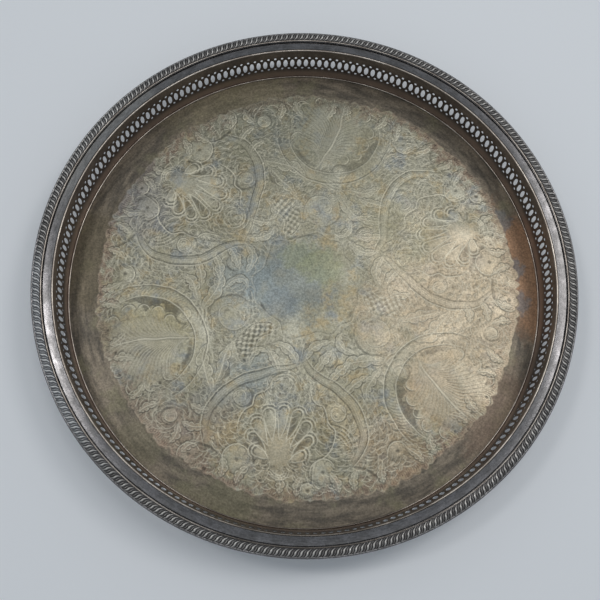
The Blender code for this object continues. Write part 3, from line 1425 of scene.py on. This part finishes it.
    def cartouche(self) -> None:
        """The horseshoe frame round the big leaf, open towards the rim."""
        middle = -118 - 45j
        for radius, first, last in ((43.5, 118, -62), (34.5, 128, -58)):
            self.edge(arc(middle, radius, first, last), 0.9, 0.6)
        self.swell(arc(middle, 39, 112, -50), 4.2, 0.7)
        self.cut(Tool.LINER, arc(middle, 33.2, 118, 52), 1.5, 1.0, taper=0.9)
        self.cut(Tool.LINER, arc(middle, 32.0, 4, -42), 2.3, 1.0, taper=0.9)
        upper_gap = [-129 - 12.5j, -118 - 10j, -107 - 13j, -110 - 17j, -115 - 16j, -119 - 21j, -122 - 16j]
        inner_gap = [-106 - 13j, -96 - 15j, -91 - 21j, -97 - 26j, -99 - 21j, -104 - 21j]
        self.fill(upper_gap, Tool.LINER)
        self.fill(inner_gap, Tool.LINER)
        self.fan(arc(middle, 35.5, 112, 40), arc(middle, 42.5, 106, 34), 20, 0.12)
        self.frill(arc(middle, 44.2, 100, 32), 1, 8, 6.0)
        self.frill(arc(middle, 44.2, -6, -58), 1, 7, 6.0)
        self.volute(-90 - 24j, 6.5, 150, 1.6)
        for radius in (9, 11.5, 14):
            self.groove(arc(-90 - 24j, radius, 60 - radius, -40), 0.4, 0.7)
            self.ridge(arc(-90 - 24j, radius + 1.1, 50 - radius, -30), 0.4, 0.7)

    def cartouche_leaf(self) -> None:
        """The big leaf that fans out of the frame's root, with round lobes above and feathers below."""
        root = -87 - 41j
        rib = smooth_line([root, -104 - 41j, -124 - 43j, -143 - 49j])
        top = smooth_line([-97 - 33j, -106 - 26j, -116 - 23j, -129 - 25j, -143 - 33j, -149 - 44j])
        low = smooth_line([-97 - 52j, -101 - 66j, -114 - 73j, -127 - 74j, -139 - 61j, -147 - 52j])
        self.swell(rib, 9.0, 0.9)
        base = rib[: len(rib) * 9 // 20]
        self.fan(base, top, 34, 0.16, 0.36)
        self.fan(base, low, 42, -0.15, 0.36)
        self.strands(base, top, 17, 0.16)
        self.strands(base, low, 21, -0.15)
        self.swell(smooth_line([-100 - 36j, -114 - 32j, -130 - 34j, -142 - 40j]), 7.0, 0.8)
        self.swell(smooth_line([-100 - 50j, -112 - 58j, -126 - 62j, -138 - 56j]), 8.0, 0.8)
        above = (-101 - 27j, -110 - 21.5j, -120 - 20.5j, -131 - 22j, -142 - 30j)
        for lobe, size in zip(above, (4.5, 5, 5, 5.5, 5)):
            self.edge(arc(lobe, size, 10, 175), 0.8, 0.45)
        below = (-100 - 68j, -112 - 75j, -125 - 77j, -136 - 66j, -144 - 55j)
        for lobe, size in zip(below, (5, 5.5, 5.5, 5, 4.5)):
            self.edge(arc(lobe, size, 150, 320), 0.8, 0.45)
        self.ridge(rib, 0.8)
        self.groove(beside(rib, 1.1), 0.5)
        self.groove(beside(rib, -1.1), 0.5)
        self.pit(-146 - 36j, -139.5 - 53.5j, -135 - 69j, -128 - 80j, -118 - 82j, -106 - 74j, radius=1.3)

    def shell(self) -> None:
        """The scallop shell: nine flutes that fan out of a low hinge, with round heads on one circle."""
        middle, hinge = -20 - 112j, -22 - 131j
        wide, dark = (2, 3), (1, 5, 6, 7)
        for number in range(9):
            turn = math.radians(212 - 31.6 * number)
            head = middle + 19.0 * complex(math.cos(turn), math.sin(turn))
            reach = abs(head - hinge)
            way = (head - hinge) / reach
            half = 4.6 if number in wide else 4.0
            angle = math.degrees(np.angle(way))
            root = hinge + 0.46 * reach * way
            left_bend = hinge + way * (0.72 * reach + 0.62j * half)
            self.ridge(smooth_line([root, left_bend, head + 1j * half * way]), 0.55)
            right_bend = hinge + way * (0.72 * reach - 0.62j * half)
            self.ridge(smooth_line([head - 1j * half * way, right_bend, root]), 0.55)
            self.ridge(arc(head, half, angle + 90, angle - 90), 0.6)
            self.groove(arc(head, half - 1.2, angle + 100, angle - 100), 0.5)
            self.groove(arc(head, half + 1.3, angle + 75, angle - 75), 0.45)
            self.ridge(arc(head, half + 2.4, angle + 62, angle - 62), 0.5, 0.9)
            core = smooth_line([head - 0.42 * reach * way, head - 0.2 * reach * way, head + way])
            if number in dark:
                self.cut(Tool.LINER, core, half * 0.62, 0.8, taper=0.6)
            else:
                self.swell(core, half * 0.9, 0.9)
        self.swell(smooth_line([middle, hinge + 8j, hinge - 1j]), 9.0, 0.9)
        for radius in (5.0, 6.6, 8.2):
            self.ridge(arc(hinge - 2j, radius, 200, 340), 0.5)
        self.pit(-11 - 134j, -31 - 134j, -3 - 129j, -39 - 129j, radius=1.6)
        self.pit(-35 - 142j, -21 - 142.5j, -9 - 147j, radius=1.3)

    def shell_frame(self) -> None:
        """The stepped frame about the shell, with its hood and side volutes."""
        for radius in (8, 10.2, 13):
            self.edge(arc(-18 - 76j, radius, 12, 178), 0.7, 0.42, 0.8)
        right = [0 - 76j, 2 - 86j, 6 - 90j, 10 - 92j, 12 - 102j]
        right = right + [17 - 108j, 15 - 118j, 11 - 125j, 3 - 130j, 1 - 145j]
        left = [-27 - 76j, -32 - 80j, -38 - 83j, -40 - 90j, -46 - 94j, -49 - 102j, -49 - 108j]
        self.edge(smooth_line(right), 1.0, 0.6)
        self.edge(smooth_line(left), -1.0, 0.6)
        self.volute(20 - 95j, 8.5, 130, 1.9)
        self.volute(-49 - 84j, 7.5, -20, 1.9)
        self.cut(Tool.LINER, arc(20 - 95j, 9.3, 130, 240), 1.3, 1.0, taper=0.9)
        self.cut(Tool.LINER, arc(-49 - 84j, 8.6, -75, 40), 1.6, 1.0, taper=0.9)
        for radius in (10, 12.5, 15, 17.5):
            self.groove(arc(15 - 121j, radius, 82, 8), 0.4, 0.8)
            self.ridge(arc(15 - 121j, radius + 1.1, 80, 10), 0.4, 0.7)

    def scroll_stems(self) -> None:
        """The two long leafy stems that flank the shell and meet above it."""
        right = [-5 - 55j, 4 - 68j, 22 - 79j, 34 - 94j, 37.5 - 114j, 29 - 132j]
        left = [-4 - 60j, -20 - 63j, -36 - 68j, -52 - 74j, -66 - 85j, -74 - 100j, -72 - 117j]
        self.stem(right, 3.3, 3)
        self.stem(left, 3.3, 3, side=-1)
        self.frill(beside(smooth_line(right), -3.4), -1, 11, 6.5)
        self.frill(beside(smooth_line(left), 3.4), 1, 12, 6.5)
        self.frill(beside(smooth_line(left[1:5]), -3.2), -1, 7, 4.5)
        inner = ((4 - 68j, 16 - 50j), (14 - 74j, 30 - 58j), (25 - 82j, 42 - 68j), (-22 - 64j, -28 - 50j))
        for start, end in inner:
            self.leaf([start, (start + end) / 2 + 1.5j, end], 4.2, 3)
        for start, end in ((-70 - 92j, -84 - 88j), (-74 - 104j, -90 - 101j)):
            self.leaf([start, (start + end) / 2 - 2j, end], 4.0, 3)

    def side_leaves(self) -> None:
        """The free leaves between the frames."""
        self.leaf([-69 - 80j, -73 - 68j, -77 - 56j, -74 - 45j], 6.0, 4)
        self.leaf([-66 - 74j, -62 - 62j, -60 - 52j, -56 - 43j], 5.0, 4)
        self.leaf([-8 - 60j, -12 - 52j, -20 - 46j, -27 - 45j], 4.2, 3)
        self.leaf([-4 - 58j, 0 - 50j, 8 - 45j, 16 - 44j], 4.2, 3)
        self.leaf([-43 - 63j, -42 - 55j, -36 - 50j, -29 - 51j], 3.6, 3)
        self.leaf([-78 - 20j, -70 - 8j, -66 + 4j, -72 + 14j], 5.6, 4)
        self.leaf([-80 - 14j, -84 - 4j, -88 + 3j, -96 + 7j], 4.6, 4)
        self.leaf([-62 - 3j, -55 + 3j, -48 + 3j, -44 - 3j], 3.8, 3)
        self.fill([-60 - 61j, -56 - 63j, -57 - 68j, -63 - 72j, -62 - 66j], Tool.LINER, 0.9)
        self.volute(-55 + 17j, 6.5, 150, 1.4)
        self.volute(-98 - 98j, 6.0, 60, 1.6)
        for radius in (9, 11.5, 14):
            self.groove(arc(-98 - 98j, radius, 150, 20), 0.4, 0.8)

    def diaper(self) -> None:
        """The small patch of chequered ground beside the round volute."""
        patch = [-54 - 43j, -42 - 31j, -29 - 30j, -27 - 36j, -37 - 42j, -40 - 55j, -48 - 58j]
        outline = np.array(patch + patch[:1])
        pitch = 2.6
        turned = np.exp(1j * math.radians(38))
        for row in range(-16, 16):
            for column in range(-16, 16):
                if (row + column) % 2:
                    continue
                place = -41 - 43j + pitch * (column + 1j * row) * turned
                to_the_east = sum(east > place.real for east in crossings(outline, place.imag))
                if to_the_east % 2:
                    self.pit(place, radius=1.45, strength=1.0)
                    bright = place + pitch * np.array([0.85, 1.15]) * turned
                    self.cut(Tool.BURNISHER, bright, 1.1, 1.0, taper=0.0)
        self.edge(smooth_line(patch + patch[:1]), 0.8, 0.4)

    def rosettes(self) -> None:
        """The round flowers between the frames and the edge, each with a dark eye."""
        flowers = ((9.5 - 136.5j, 10), (-51 - 127j, 11), (-2 - 148j, 6), (-84 - 124j, 9), (62 - 122j, 8))
        petals = 7
        for eye, radius in flowers:
            self.swell(arc(eye, radius * 0.4, 0, 340), radius * 0.55, 0.7)
            self.pit(eye, radius=1.5)
            self.edge(arc(eye, radius, 20, 200), 0.8, 0.5)
            for petal in range(petals):
                way = 360 / petals * petal
                spot = eye + radius * 0.62 * np.exp(1j * math.radians(way))
                self.groove(arc(spot, radius * 0.26, way - 120, way + 120), 0.38, 0.8)
        self.cut(Tool.LINER, arc(-51 - 127j, 11.8, 75, -25), 1.3, 1.0, taper=0.8)
        left_shadow = smooth_line([-92 - 117j, -80 - 115.5j, -68 - 119j, -61 - 125j])
        self.cut(Tool.LINER, left_shadow, 1.3, 1.0, taper=0.8)
        right_shadow = smooth_line([29 - 132j, 38 - 133j, 45 - 137j, 50 - 142j])
        self.cut(Tool.LINER, right_shadow, 1.4, 1.0, taper=0.8)

    def outer_sprays(self) -> None:
        """The short leaves that run out to the scalloped edge all round."""
        root_radius, tip_radius = 138, self.field_mm - 3
        for number, bearing in enumerate(range(172, 292, 8)):
            out = complex(math.cos(math.radians(bearing)), math.sin(math.radians(bearing)))
            lean = 5j if number % 2 else -5j
            root, end = out * root_radius, out * tip_radius + lean * out
            self.leaf([root, (root + end) / 2 + 0.3 * lean * out, end], 3.8, 3, veins=2)

    def infill(self, canvas: "Canvas") -> None:
        """Fills the ground that is left with short curled cuts that flow loosely about the nearest eye.

        Args:
            canvas: The work so far, which tells where the ground is still bare.
        """
        chance = np.random.default_rng(self.seed)
        turns = [np.exp(1j * math.tau * number / self.repeats) for number in range(self.repeats)]
        eyes = [-57 - 23j, -90 - 24j, -118 - 45j, -20 - 76j, 20 - 95j, -49 - 84j, -98 - 98j, -55 + 17j]
        eyes = np.concatenate([np.array(eyes) * turn for turn in turns])
        leaf_middles = [(-118 - 45j) * turn for turn in turns]
        leaf_reach, inner_edge, outer_edge = 31.0, 42, self.field_mm - 5
        spacing, wander, full_enough = 3.6, 1.4, 0.34
        for row in np.arange(-self.field_mm, self.field_mm, spacing):
            for column in np.arange(-self.field_mm, self.field_mm, spacing):
                nudge = chance.uniform(-wander, wander, 5)
                place = complex(row + nudge[0], column + nudge[1])
                bearing = math.degrees(math.atan2(place.imag, place.real)) % 360
                if not 171 <= bearing < 291 or not inner_edge < abs(place) < outer_edge:
                    continue
                in_leaf = min(abs(place - middle) for middle in leaf_middles) < leaf_reach
                if in_leaf or canvas.coverage(place) > full_enough:
                    continue
                nearest = eyes[np.argmin(np.abs(eyes - place))]
                middle = math.degrees(np.angle(place - nearest)) + 38 * nudge[3]
                radius = 4.6 + 1.6 * nudge[4]
                eye = place - radius * np.exp(1j * math.radians(middle))
                span = math.degrees((2.6 + nudge[2]) / radius)
                for lane in (-0.9, 0.0, 0.9):
                    curl = arc(eye, radius + lane, middle - span + 4 * lane, middle + span)
                    self.groove(curl, 0.36, 0.75)
                self.ridge(arc(eye, radius + 1.5, middle - span, middle + span), 0.4, 0.6)
                self.pit(place + 1.6j, radius=0.7, strength=0.8)

    def edge_radius(self, bearing: np.ndarray) -> np.ndarray:
        """Lays out the scalloped edge, with lobes of uneven width and depth.

        Args:
            bearing: The ways round, in radians.

        Returns:
            The edge's distance from the pattern's middle at each, in millimetres.
        """
        warped = bearing + 0.05 * np.sin(5 * bearing) + 0.03 * np.sin(13 * bearing + 1)
        warped = warped + 0.009 * np.sin(31 * bearing)
        scallop = np.abs(np.sin(self.scallops * warped)) ** 0.7
        depth = 1.9 + 1.1 * np.sin(11 * bearing + 2) + 0.6 * np.sin(29 * bearing)
        ragged = 0.35 * np.sin(97 * bearing + 3 * np.sin(9 * bearing)) + 0.25 * np.sin(171 * bearing)
        return self.field_mm - 0.8 + depth * scallop + ragged

    def scalloped_edge(self) -> None:
        """The scalloped edge line and its fine fringe, which run once round without a repeat."""
        bearing = np.linspace(0, math.tau, 4000)
        rim = self.edge_radius(bearing) * np.exp(1j * bearing)
        self.cut(Tool.LINER, rim + 0.3 * np.exp(1j * bearing), 0.45, 0.5, taper=0.0)
        self.cut(Tool.BURNISHER, rim - 0.6 * np.exp(1j * bearing), 0.4, 0.18, taper=0.0)
        for way in np.arange(0, math.tau, math.tau / self.fringe):
            tip = float(self.edge_radius(np.array([way]))[0]) - 1.2
            length = 4.2 + 1.6 * math.sin(46 * way + 1.3)
            out = complex(math.cos(way), math.sin(way))
            bend = out * (tip - length / 2) * (1 + 0.004j)
            self.groove(smooth_line([out * (tip - length), bend, out * tip]), 0.34, 0.7)

    def medallion(self) -> None:
        """The lobed outline of the plain middle, with a few dark accents, once round as well."""
        bearing = np.linspace(0, math.tau, 900)
        radius = 39 + 2.2 * np.sin(6 * bearing + 0.6) + 1.6 * np.sin(9 * bearing) + np.sin(15 * bearing)
        edge = radius * np.exp(1j * bearing)
        self.cut(Tool.LINER, edge, 0.5, 0.6, taper=0.0)
        self.cut(Tool.BURNISHER, edge * 1.025, 0.45, 0.35, taper=0.0)
        for first, last in ((80, 118), (200, 214), (318, 330)):
            self.cut(Tool.LINER, arc(0, 38.5, first, last), 1.4, 1.0, taper=0.9)


@dataclass
class Canvas:
    """The chased relief as layers on a square grid, in millimetres from the tray's middle."""

    half: float = 166.0
    cell: float = 0.3
    layers: dict[Tool, np.ndarray] = field(default_factory=dict)

    def __post_init__(self) -> None:
        """Starts every layer flat."""
        size = round(2 * self.half / self.cell) + 1
        for tool in Tool:
            self.layers[tool] = np.zeros((size, size), np.float32)

    def work(self, strokes: list[Stroke], turn: complex = 1.0, shift: complex = 0j) -> None:
        """Works strokes into the layers.

        Args:
            strokes: What to work in.
            turn: A unit complex number that turns the strokes about the middle.
            shift: How far the turned strokes are moved, in millimetres.
        """
        for tool in Tool:
            chosen = [stroke for stroke in strokes if stroke.tool is tool]
            if not chosen:
                continue
            places = self.by_hand(np.concatenate([stroke.places for stroke in chosen]) * turn + shift)
            widths = np.concatenate([stroke.half_width for stroke in chosen])
            strengths = np.concatenate([stroke.strength for stroke in chosen])
            for small, large in ((0.0, 1.3), (1.3, 5.0), (5.0, 20.0)):
                rows = (widths > small) & (widths <= large)
                if rows.any():
                    self.press(self.layers[tool], places[rows], widths[rows], strengths[rows])

    def by_hand(self, places: np.ndarray) -> np.ndarray:
        """Moves places a little, smoothly and differently in each part of the floor, as a hand does.

        Args:
            places: Complex millimetres.

        Returns:
            The moved places.
        """
        east, north = places.real, places.imag
        nudge_east = 0.55 * np.sin(north / 9.0 + 1.7 * np.sin(east / 23.0))
        nudge_east = nudge_east + 0.22 * np.sin(north / 3.1 + east / 7.0)
        nudge_north = 0.55 * np.sin(east / 8.0 + 1.3 * np.sin(north / 19.0))
        nudge_north = nudge_north + 0.22 * np.sin(east / 2.7 - north / 6.0)
        return places + nudge_east + 1j * nudge_north

    def press(self, layer: np.ndarray, places: np.ndarray, widths: np.ndarray, strengths: np.ndarray) -> None:
        """Presses round marks into one layer, each keeping the deepest value.

        Args:
            layer: The layer, which is changed.
            places: The marks' middles as complex millimetres.
            widths: Their half widths in millimetres.
            strengths: Their depths.
        """
        across = (places.real + self.half) / self.cell
        up = (places.imag + self.half) / self.cell
        column, row = np.rint(across).astype(int), np.rint(up).astype(int)
        reach = math.ceil(widths.max() / self.cell)
        size = layer.shape[0]
        keep = (column > reach) & (column < size - reach - 1) & (row > reach) & (row < size - reach - 1)
        across, up, column, row = across[keep], up[keep], column[keep], row[keep]
        widths, strengths = widths[keep] / self.cell, strengths[keep]
        flat = layer.reshape(-1)
        for step_up in range(-reach, reach + 1):
            for step_across in range(-reach, reach + 1):
                gap = (column + step_across - across) ** 2 + (row + step_up - up) ** 2
                dent = strengths * np.clip(1 - gap / widths**2, 0, 1) ** 0.8
                near = dent > 0
                if near.any():
                    spots = (row[near] + step_up) * size + column[near] + step_across
                    np.maximum.at(flat, spots, dent[near].astype(np.float32))

    def coverage(self, place: complex, reach: float = 2.2) -> float:
        """Measures how much of the metal round a place is already worked.

        Args:
            place: Where to look, as complex millimetres.
            reach: How far to look each way, in millimetres.

        Returns:
            The worked part of the metal there, from nought to one.
        """
        column = round((place.real + self.half) / self.cell)
        row = round((place.imag + self.half) / self.cell)
        span = round(reach / self.cell)
        window = (slice(row - span, row + span + 1), slice(column - span, column + span + 1))
        worked = self.layers[Tool.LINER][window] + self.layers[Tool.MODELLER][window] * 0.6
        return float((worked > 0.25).mean())

    def read(self, layer: np.ndarray, x: np.ndarray, y: np.ndarray) -> np.ndarray:
        """Reads a layer between its grid points.

        Args:
            layer: The layer.
            x: The places' x in millimetres.
            y: Their y.

        Returns:
            The layer's value at each place.
        """
        across = np.clip((x + self.half) / self.cell, 0, layer.shape[1] - 1.001)
        up = np.clip((y + self.half) / self.cell, 0, layer.shape[0] - 1.001)
        column, row = across.astype(int), up.astype(int)
        right, above = across - column, up - row
        low = layer[row, column] * (1 - right) + layer[row, column + 1] * right
        high = layer[row + 1, column] * (1 - right) + layer[row + 1, column + 1] * right
        return low * (1 - above) + high * above


@dataclass
class ChasedFloor:
    """The floor: a plain rolled border round a chased field, meshed finely enough to hold every cut."""

    field_radius: float = 162.0 * MM
    sectors: int = 6
    subdivisions: tuple[int, int] = (19, 18)
    slab: float = 0.5 * MM
    cut_depth: float = 0.20 * MM
    swell_height: float = 0.46 * MM
    ridge_height: float = 0.15 * MM
    pit_depth: float = 0.24 * MM
    rusty_reach: float = 20.0
    rubbed_spots: tuple[tuple[float, float, float, float], ...] = (
        (70, 60, 62, 0.75),
        (95, -50, 60, 0.55),
        (0, 0, 42, 0.6),
        (20, 110, 45, 0.5),
        (58, -14, 20, 0.4),
        (-16, 57, 20, 0.5),
    )
    pattern: ChasedPattern = field(default_factory=ChasedPattern)

    def build(self) -> None:
        """Builds the sheet and its chased sectors."""
        low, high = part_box("floor_plate")
        level = high.z - self.slab
        outline = [
            (0.0, low.z),
            (high.x, low.z),
            (high.x, high.z),
            (self.field_radius, high.z),
            (self.field_radius, level),
            (0.0, level),
        ]
        material = FLOOR_PLATE.make()
        sheet = turn_outline("floor_sheet_rolled", outline)
        sheet.data.materials.append(material)
        sheet.data.materials.append(FOOT_PLATE.make())
        for face in sheet.data.polygons:
            face.material_index = int(face.normal.z < -0.5)
        fit_in_place(sheet, "floor_plate")
        canvas = self.chase()
        flat, parts = self.flat_sector()
        for number in range(self.sectors):
            sector = flat if number == self.sectors - 1 else self.copy_of(flat)
            name = f"chased_sector_{number + 1}"
            sector.name = name
            sector.data.name = name
            self.shape_sector(sector, parts, number, canvas, high.z)
            sector.data.materials.append(material)
            fit_in_place(sector, "floor_plate")

    def chase(self) -> Canvas:
        """Draws one third of the ornament and works it in three times, then fills the ground.

        Returns:
            The finished relief.
        """
        canvas = Canvas()
        pattern = self.pattern
        pattern.draw()
        turns = [np.exp(1j * math.tau * number / pattern.repeats) for number in range(pattern.repeats)]
        for turn in turns:
            canvas.work(pattern.strokes, turn, pattern.centre)
        drawn = len(pattern.strokes)
        pattern.infill(canvas)
        for turn in turns:
            canvas.work(pattern.strokes[drawn:], turn, pattern.centre)
        filled = len(pattern.strokes)
        LOG.info("chased ornament: %d strokes in each third", filled)
        pattern.scalloped_edge()
        pattern.medallion()
        canvas.work(pattern.strokes[filled:], 1.0, pattern.centre)
        return canvas

    def flat_sector(self) -> tuple[bpy.types.Object, np.ndarray]:
        """Subdivides a triangle and closes it into a slab.

        Returns:
            The slab, and for each vertex how far out it is and how far round, both from nought to one, and
            whether it is on the top.
        """
        deselect()
        bpy.ops.mesh.primitive_circle_add(vertices=3, radius=1.0, fill_type="NGON")
        sector = name_active("flat_sector")
        bpy.ops.object.mode_set(mode="EDIT")
        bpy.ops.mesh.select_all(action="SELECT")
        for cuts in self.subdivisions:
            bpy.ops.mesh.subdivide(number_cuts=cuts)
        bpy.ops.object.mode_set(mode="OBJECT")
        close_downwards(sector, -1.0)
        places = vertex_places(sector)
        turns = (math.pi / 2, math.pi * 7 / 6, math.pi * 11 / 6)
        grid = np.array([[math.cos(turn) for turn in turns], [math.sin(turn) for turn in turns], [1, 1, 1]])
        shares = np.linalg.solve(grid, np.vstack([places[:, 0], places[:, 1], np.ones(len(places))]))
        out = np.clip(1 - shares[0], 0, 1)
        share = np.divide(shares[2], out, out=np.zeros_like(out), where=out > 1e-6)
        return sector, np.column_stack([out, np.clip(share, 0, 1), places[:, 2] > -0.5])

    def copy_of(self, piece: bpy.types.Object) -> bpy.types.Object:
        """Copies a piece with a mesh of its own.

        Args:
            piece: The object to copy.

        Returns:
            The copy.
        """
        select_only(piece)
        bpy.ops.object.duplicate(linked=False)
        return bpy.context.object

    def shape_sector(
        self, sector: bpy.types.Object, parts: np.ndarray, number: int, canvas: Canvas, top: float
    ) -> None:
        """Lays a flat slab in its place and raises the ornament on it.

        Args:
            sector: The slab, which is changed.
            parts: What flat_sector says of each vertex.
            number: Which sector it is.
            canvas: The relief.
            top: The plain floor's height in metres.
        """
        out, share, upper = parts.T
        bearing = (number + share) * math.tau / self.sectors
        x, y = out * self.field_radius * np.cos(bearing), out * self.field_radius * np.sin(bearing)
        east, north = x / MM, y / MM
        layers = {tool: canvas.read(layer, east, north) for tool, layer in canvas.layers.items()}
        cut, ridge = layers[Tool.LINER], layers[Tool.BURNISHER]
        body, pits = layers[Tool.MODELLER], layers[Tool.MATTER]
        rise = body * self.swell_height + ridge * self.ridge_height
        rise -= cut * self.cut_depth + pits * self.pit_depth
        own = east + 1j * north - self.pattern.centre
        edge = self.pattern.edge_radius(np.angle(own))
        inside = np.clip((edge - np.abs(own)) / 0.8 + 0.5, 0, 1)
        worn = self.wear(east, north)
        rise *= (1 - 0.5 * worn) * inside
        fade = np.clip((1 - out) * self.field_radius / (0.6 * MM), 0, 1)
        height = np.where(upper > 0.5, top + rise * fade, top - self.slab)
        place_vertices(sector, np.column_stack([x, y, height]))
        marks = {
            "hollow": np.clip(np.maximum(cut * 0.74, pits * 0.85), 0, 1) * (1 - 0.6 * worn) * inside,
            "crest": np.clip(np.maximum(ridge, 0.3 * body), 0, 1) * (1 - 0.35 * worn) * inside,
            "field": inside,
            "depth": np.clip((edge - np.abs(own)) / self.rusty_reach, 0, 1),
        }
        for label, values in marks.items():
            mark(sector, label, values * (upper > 0.5))
        clean_up(sector, merge=0.0, smooth_degrees=60)

    def wear(self, east: np.ndarray, north: np.ndarray) -> np.ndarray:
        """Says how rubbed the chasing is, worst at a few spots that things were set down on.

        Args:
            east: The places' x in millimetres.
            north: Their y.

        Returns:
            The wear at each place, from nought to one.
        """
        worn = np.zeros_like(east)
        for right, up, reach, most in self.rubbed_spots:
            worn += most * np.exp(-((east - right) ** 2 + (north - up) ** 2) / reach**2)
        return np.clip(worn, 0, 0.95)


@dataclass
class Studio:
    """A pale floor, three softboxes above the tray, and the camera above the front edge."""

    target: Vector = field(default_factory=lambda: Vector((-0.0051, -0.0211, 0.0372)))
    eye: Vector = field(default_factory=lambda: Vector((-0.01986, -0.15443, 0.53063)))
    lens_mm: float = 44.5
    floor_size: float = 6.0
    floor_tone: str = "#F0F1F2"
    room_tone: str = "#AEB6BE"
    room_light: float = 0.80
    softboxes: tuple[tuple[str, tuple[float, float, float], float, float], ...] = (
        ("softbox_left", (-0.56, 0.18, 1.25), 0.20, 1.75),
        ("softbox_right", (0.68, 0.36, 1.25), 0.42, 2.9),
        ("softbox_overhead", (0.15, 0.25, 1.35), 0.35, 1.6),
    )

    def build(self) -> None:
        """Sets the stage, the lights and the camera."""
        deselect()
        bpy.ops.mesh.primitive_plane_add(size=self.floor_size, location=(0, 0, 0))
        floor = name_active("studio_floor")
        # Uncoated paper, matt and nearly white, so the tray is seen by soft light alone.
        paper = bpy.data.materials.new("matt_pale_paper")
        paper.use_nodes = True
        shader = paper.node_tree.nodes["Principled BSDF"]
        shader.inputs["Base Color"].default_value = hex_to_linear(self.floor_tone)
        shader.inputs["Roughness"].default_value = 0.9
        floor.data.materials.append(paper)
        floor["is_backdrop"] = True
        for name, place, size, power in self.softboxes:
            self.softbox(name, place, size, power)
        world = bpy.data.worlds.new("studio_world")
        bpy.context.scene.world = world
        world.use_nodes = True
        back = world.node_tree.nodes["Background"]
        back.inputs["Color"].default_value = hex_to_linear(self.room_tone)
        back.inputs["Strength"].default_value = self.room_light
        self.camera()

    def softbox(self, name: str, place: tuple[float, float, float], size: float, power: float) -> None:
        """Hangs a square light aimed at the tray.

        Args:
            name: The light's name.
            place: Where it hangs, in metres.
            size: The length of its side in metres.
            power: Its power in watts.
        """
        data = bpy.data.lights.new(name, "AREA")
        data.size = size
        data.energy = power
        lamp = bpy.data.objects.new(name, data)
        lamp.location = place
        lamp.rotation_euler = (-Vector(place)).to_track_quat("-Z", "Y").to_euler()
        bpy.context.scene.collection.objects.link(lamp)

    def camera(self) -> None:
        """Aims the camera, with the tray's +Y up in the frame."""
        data = bpy.data.cameras.new("studio_camera")
        data.lens = self.lens_mm
        data.sensor_width = 36.0
        data.clip_start = 0.01
        camera = bpy.data.objects.new("studio_camera", data)
        look = (self.target - self.eye).normalized()
        right = look.cross(Vector((0, 1, 0))).normalized()
        up = right.cross(look)
        turned = Matrix((right, up, -look)).transposed()
        camera.matrix_world = Matrix.Translation(self.eye) @ turned.to_4x4()
        bpy.context.scene.collection.objects.link(camera)
        bpy.context.scene.camera = camera


def corners() -> list[list[float]]:
    """The shown object's lowest and highest corners as plain lists."""
    return [[round(value, 6) for value in corner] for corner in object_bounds()]


def main() -> None:
    """Builds the tray round its frame and reports each piece."""
    logging.basicConfig(level=logging.INFO, format="%(name)s: %(message)s")
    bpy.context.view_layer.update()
    bpy.context.scene.view_settings.view_transform = "Standard"
    Studio().build()
    FootRing().build()
    ChasedFloor().build()
    Gallery().build()
    Rim().build()
    Wires().build()
    Gadroons().build()
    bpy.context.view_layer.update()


if __name__ == "__main__":
    main()
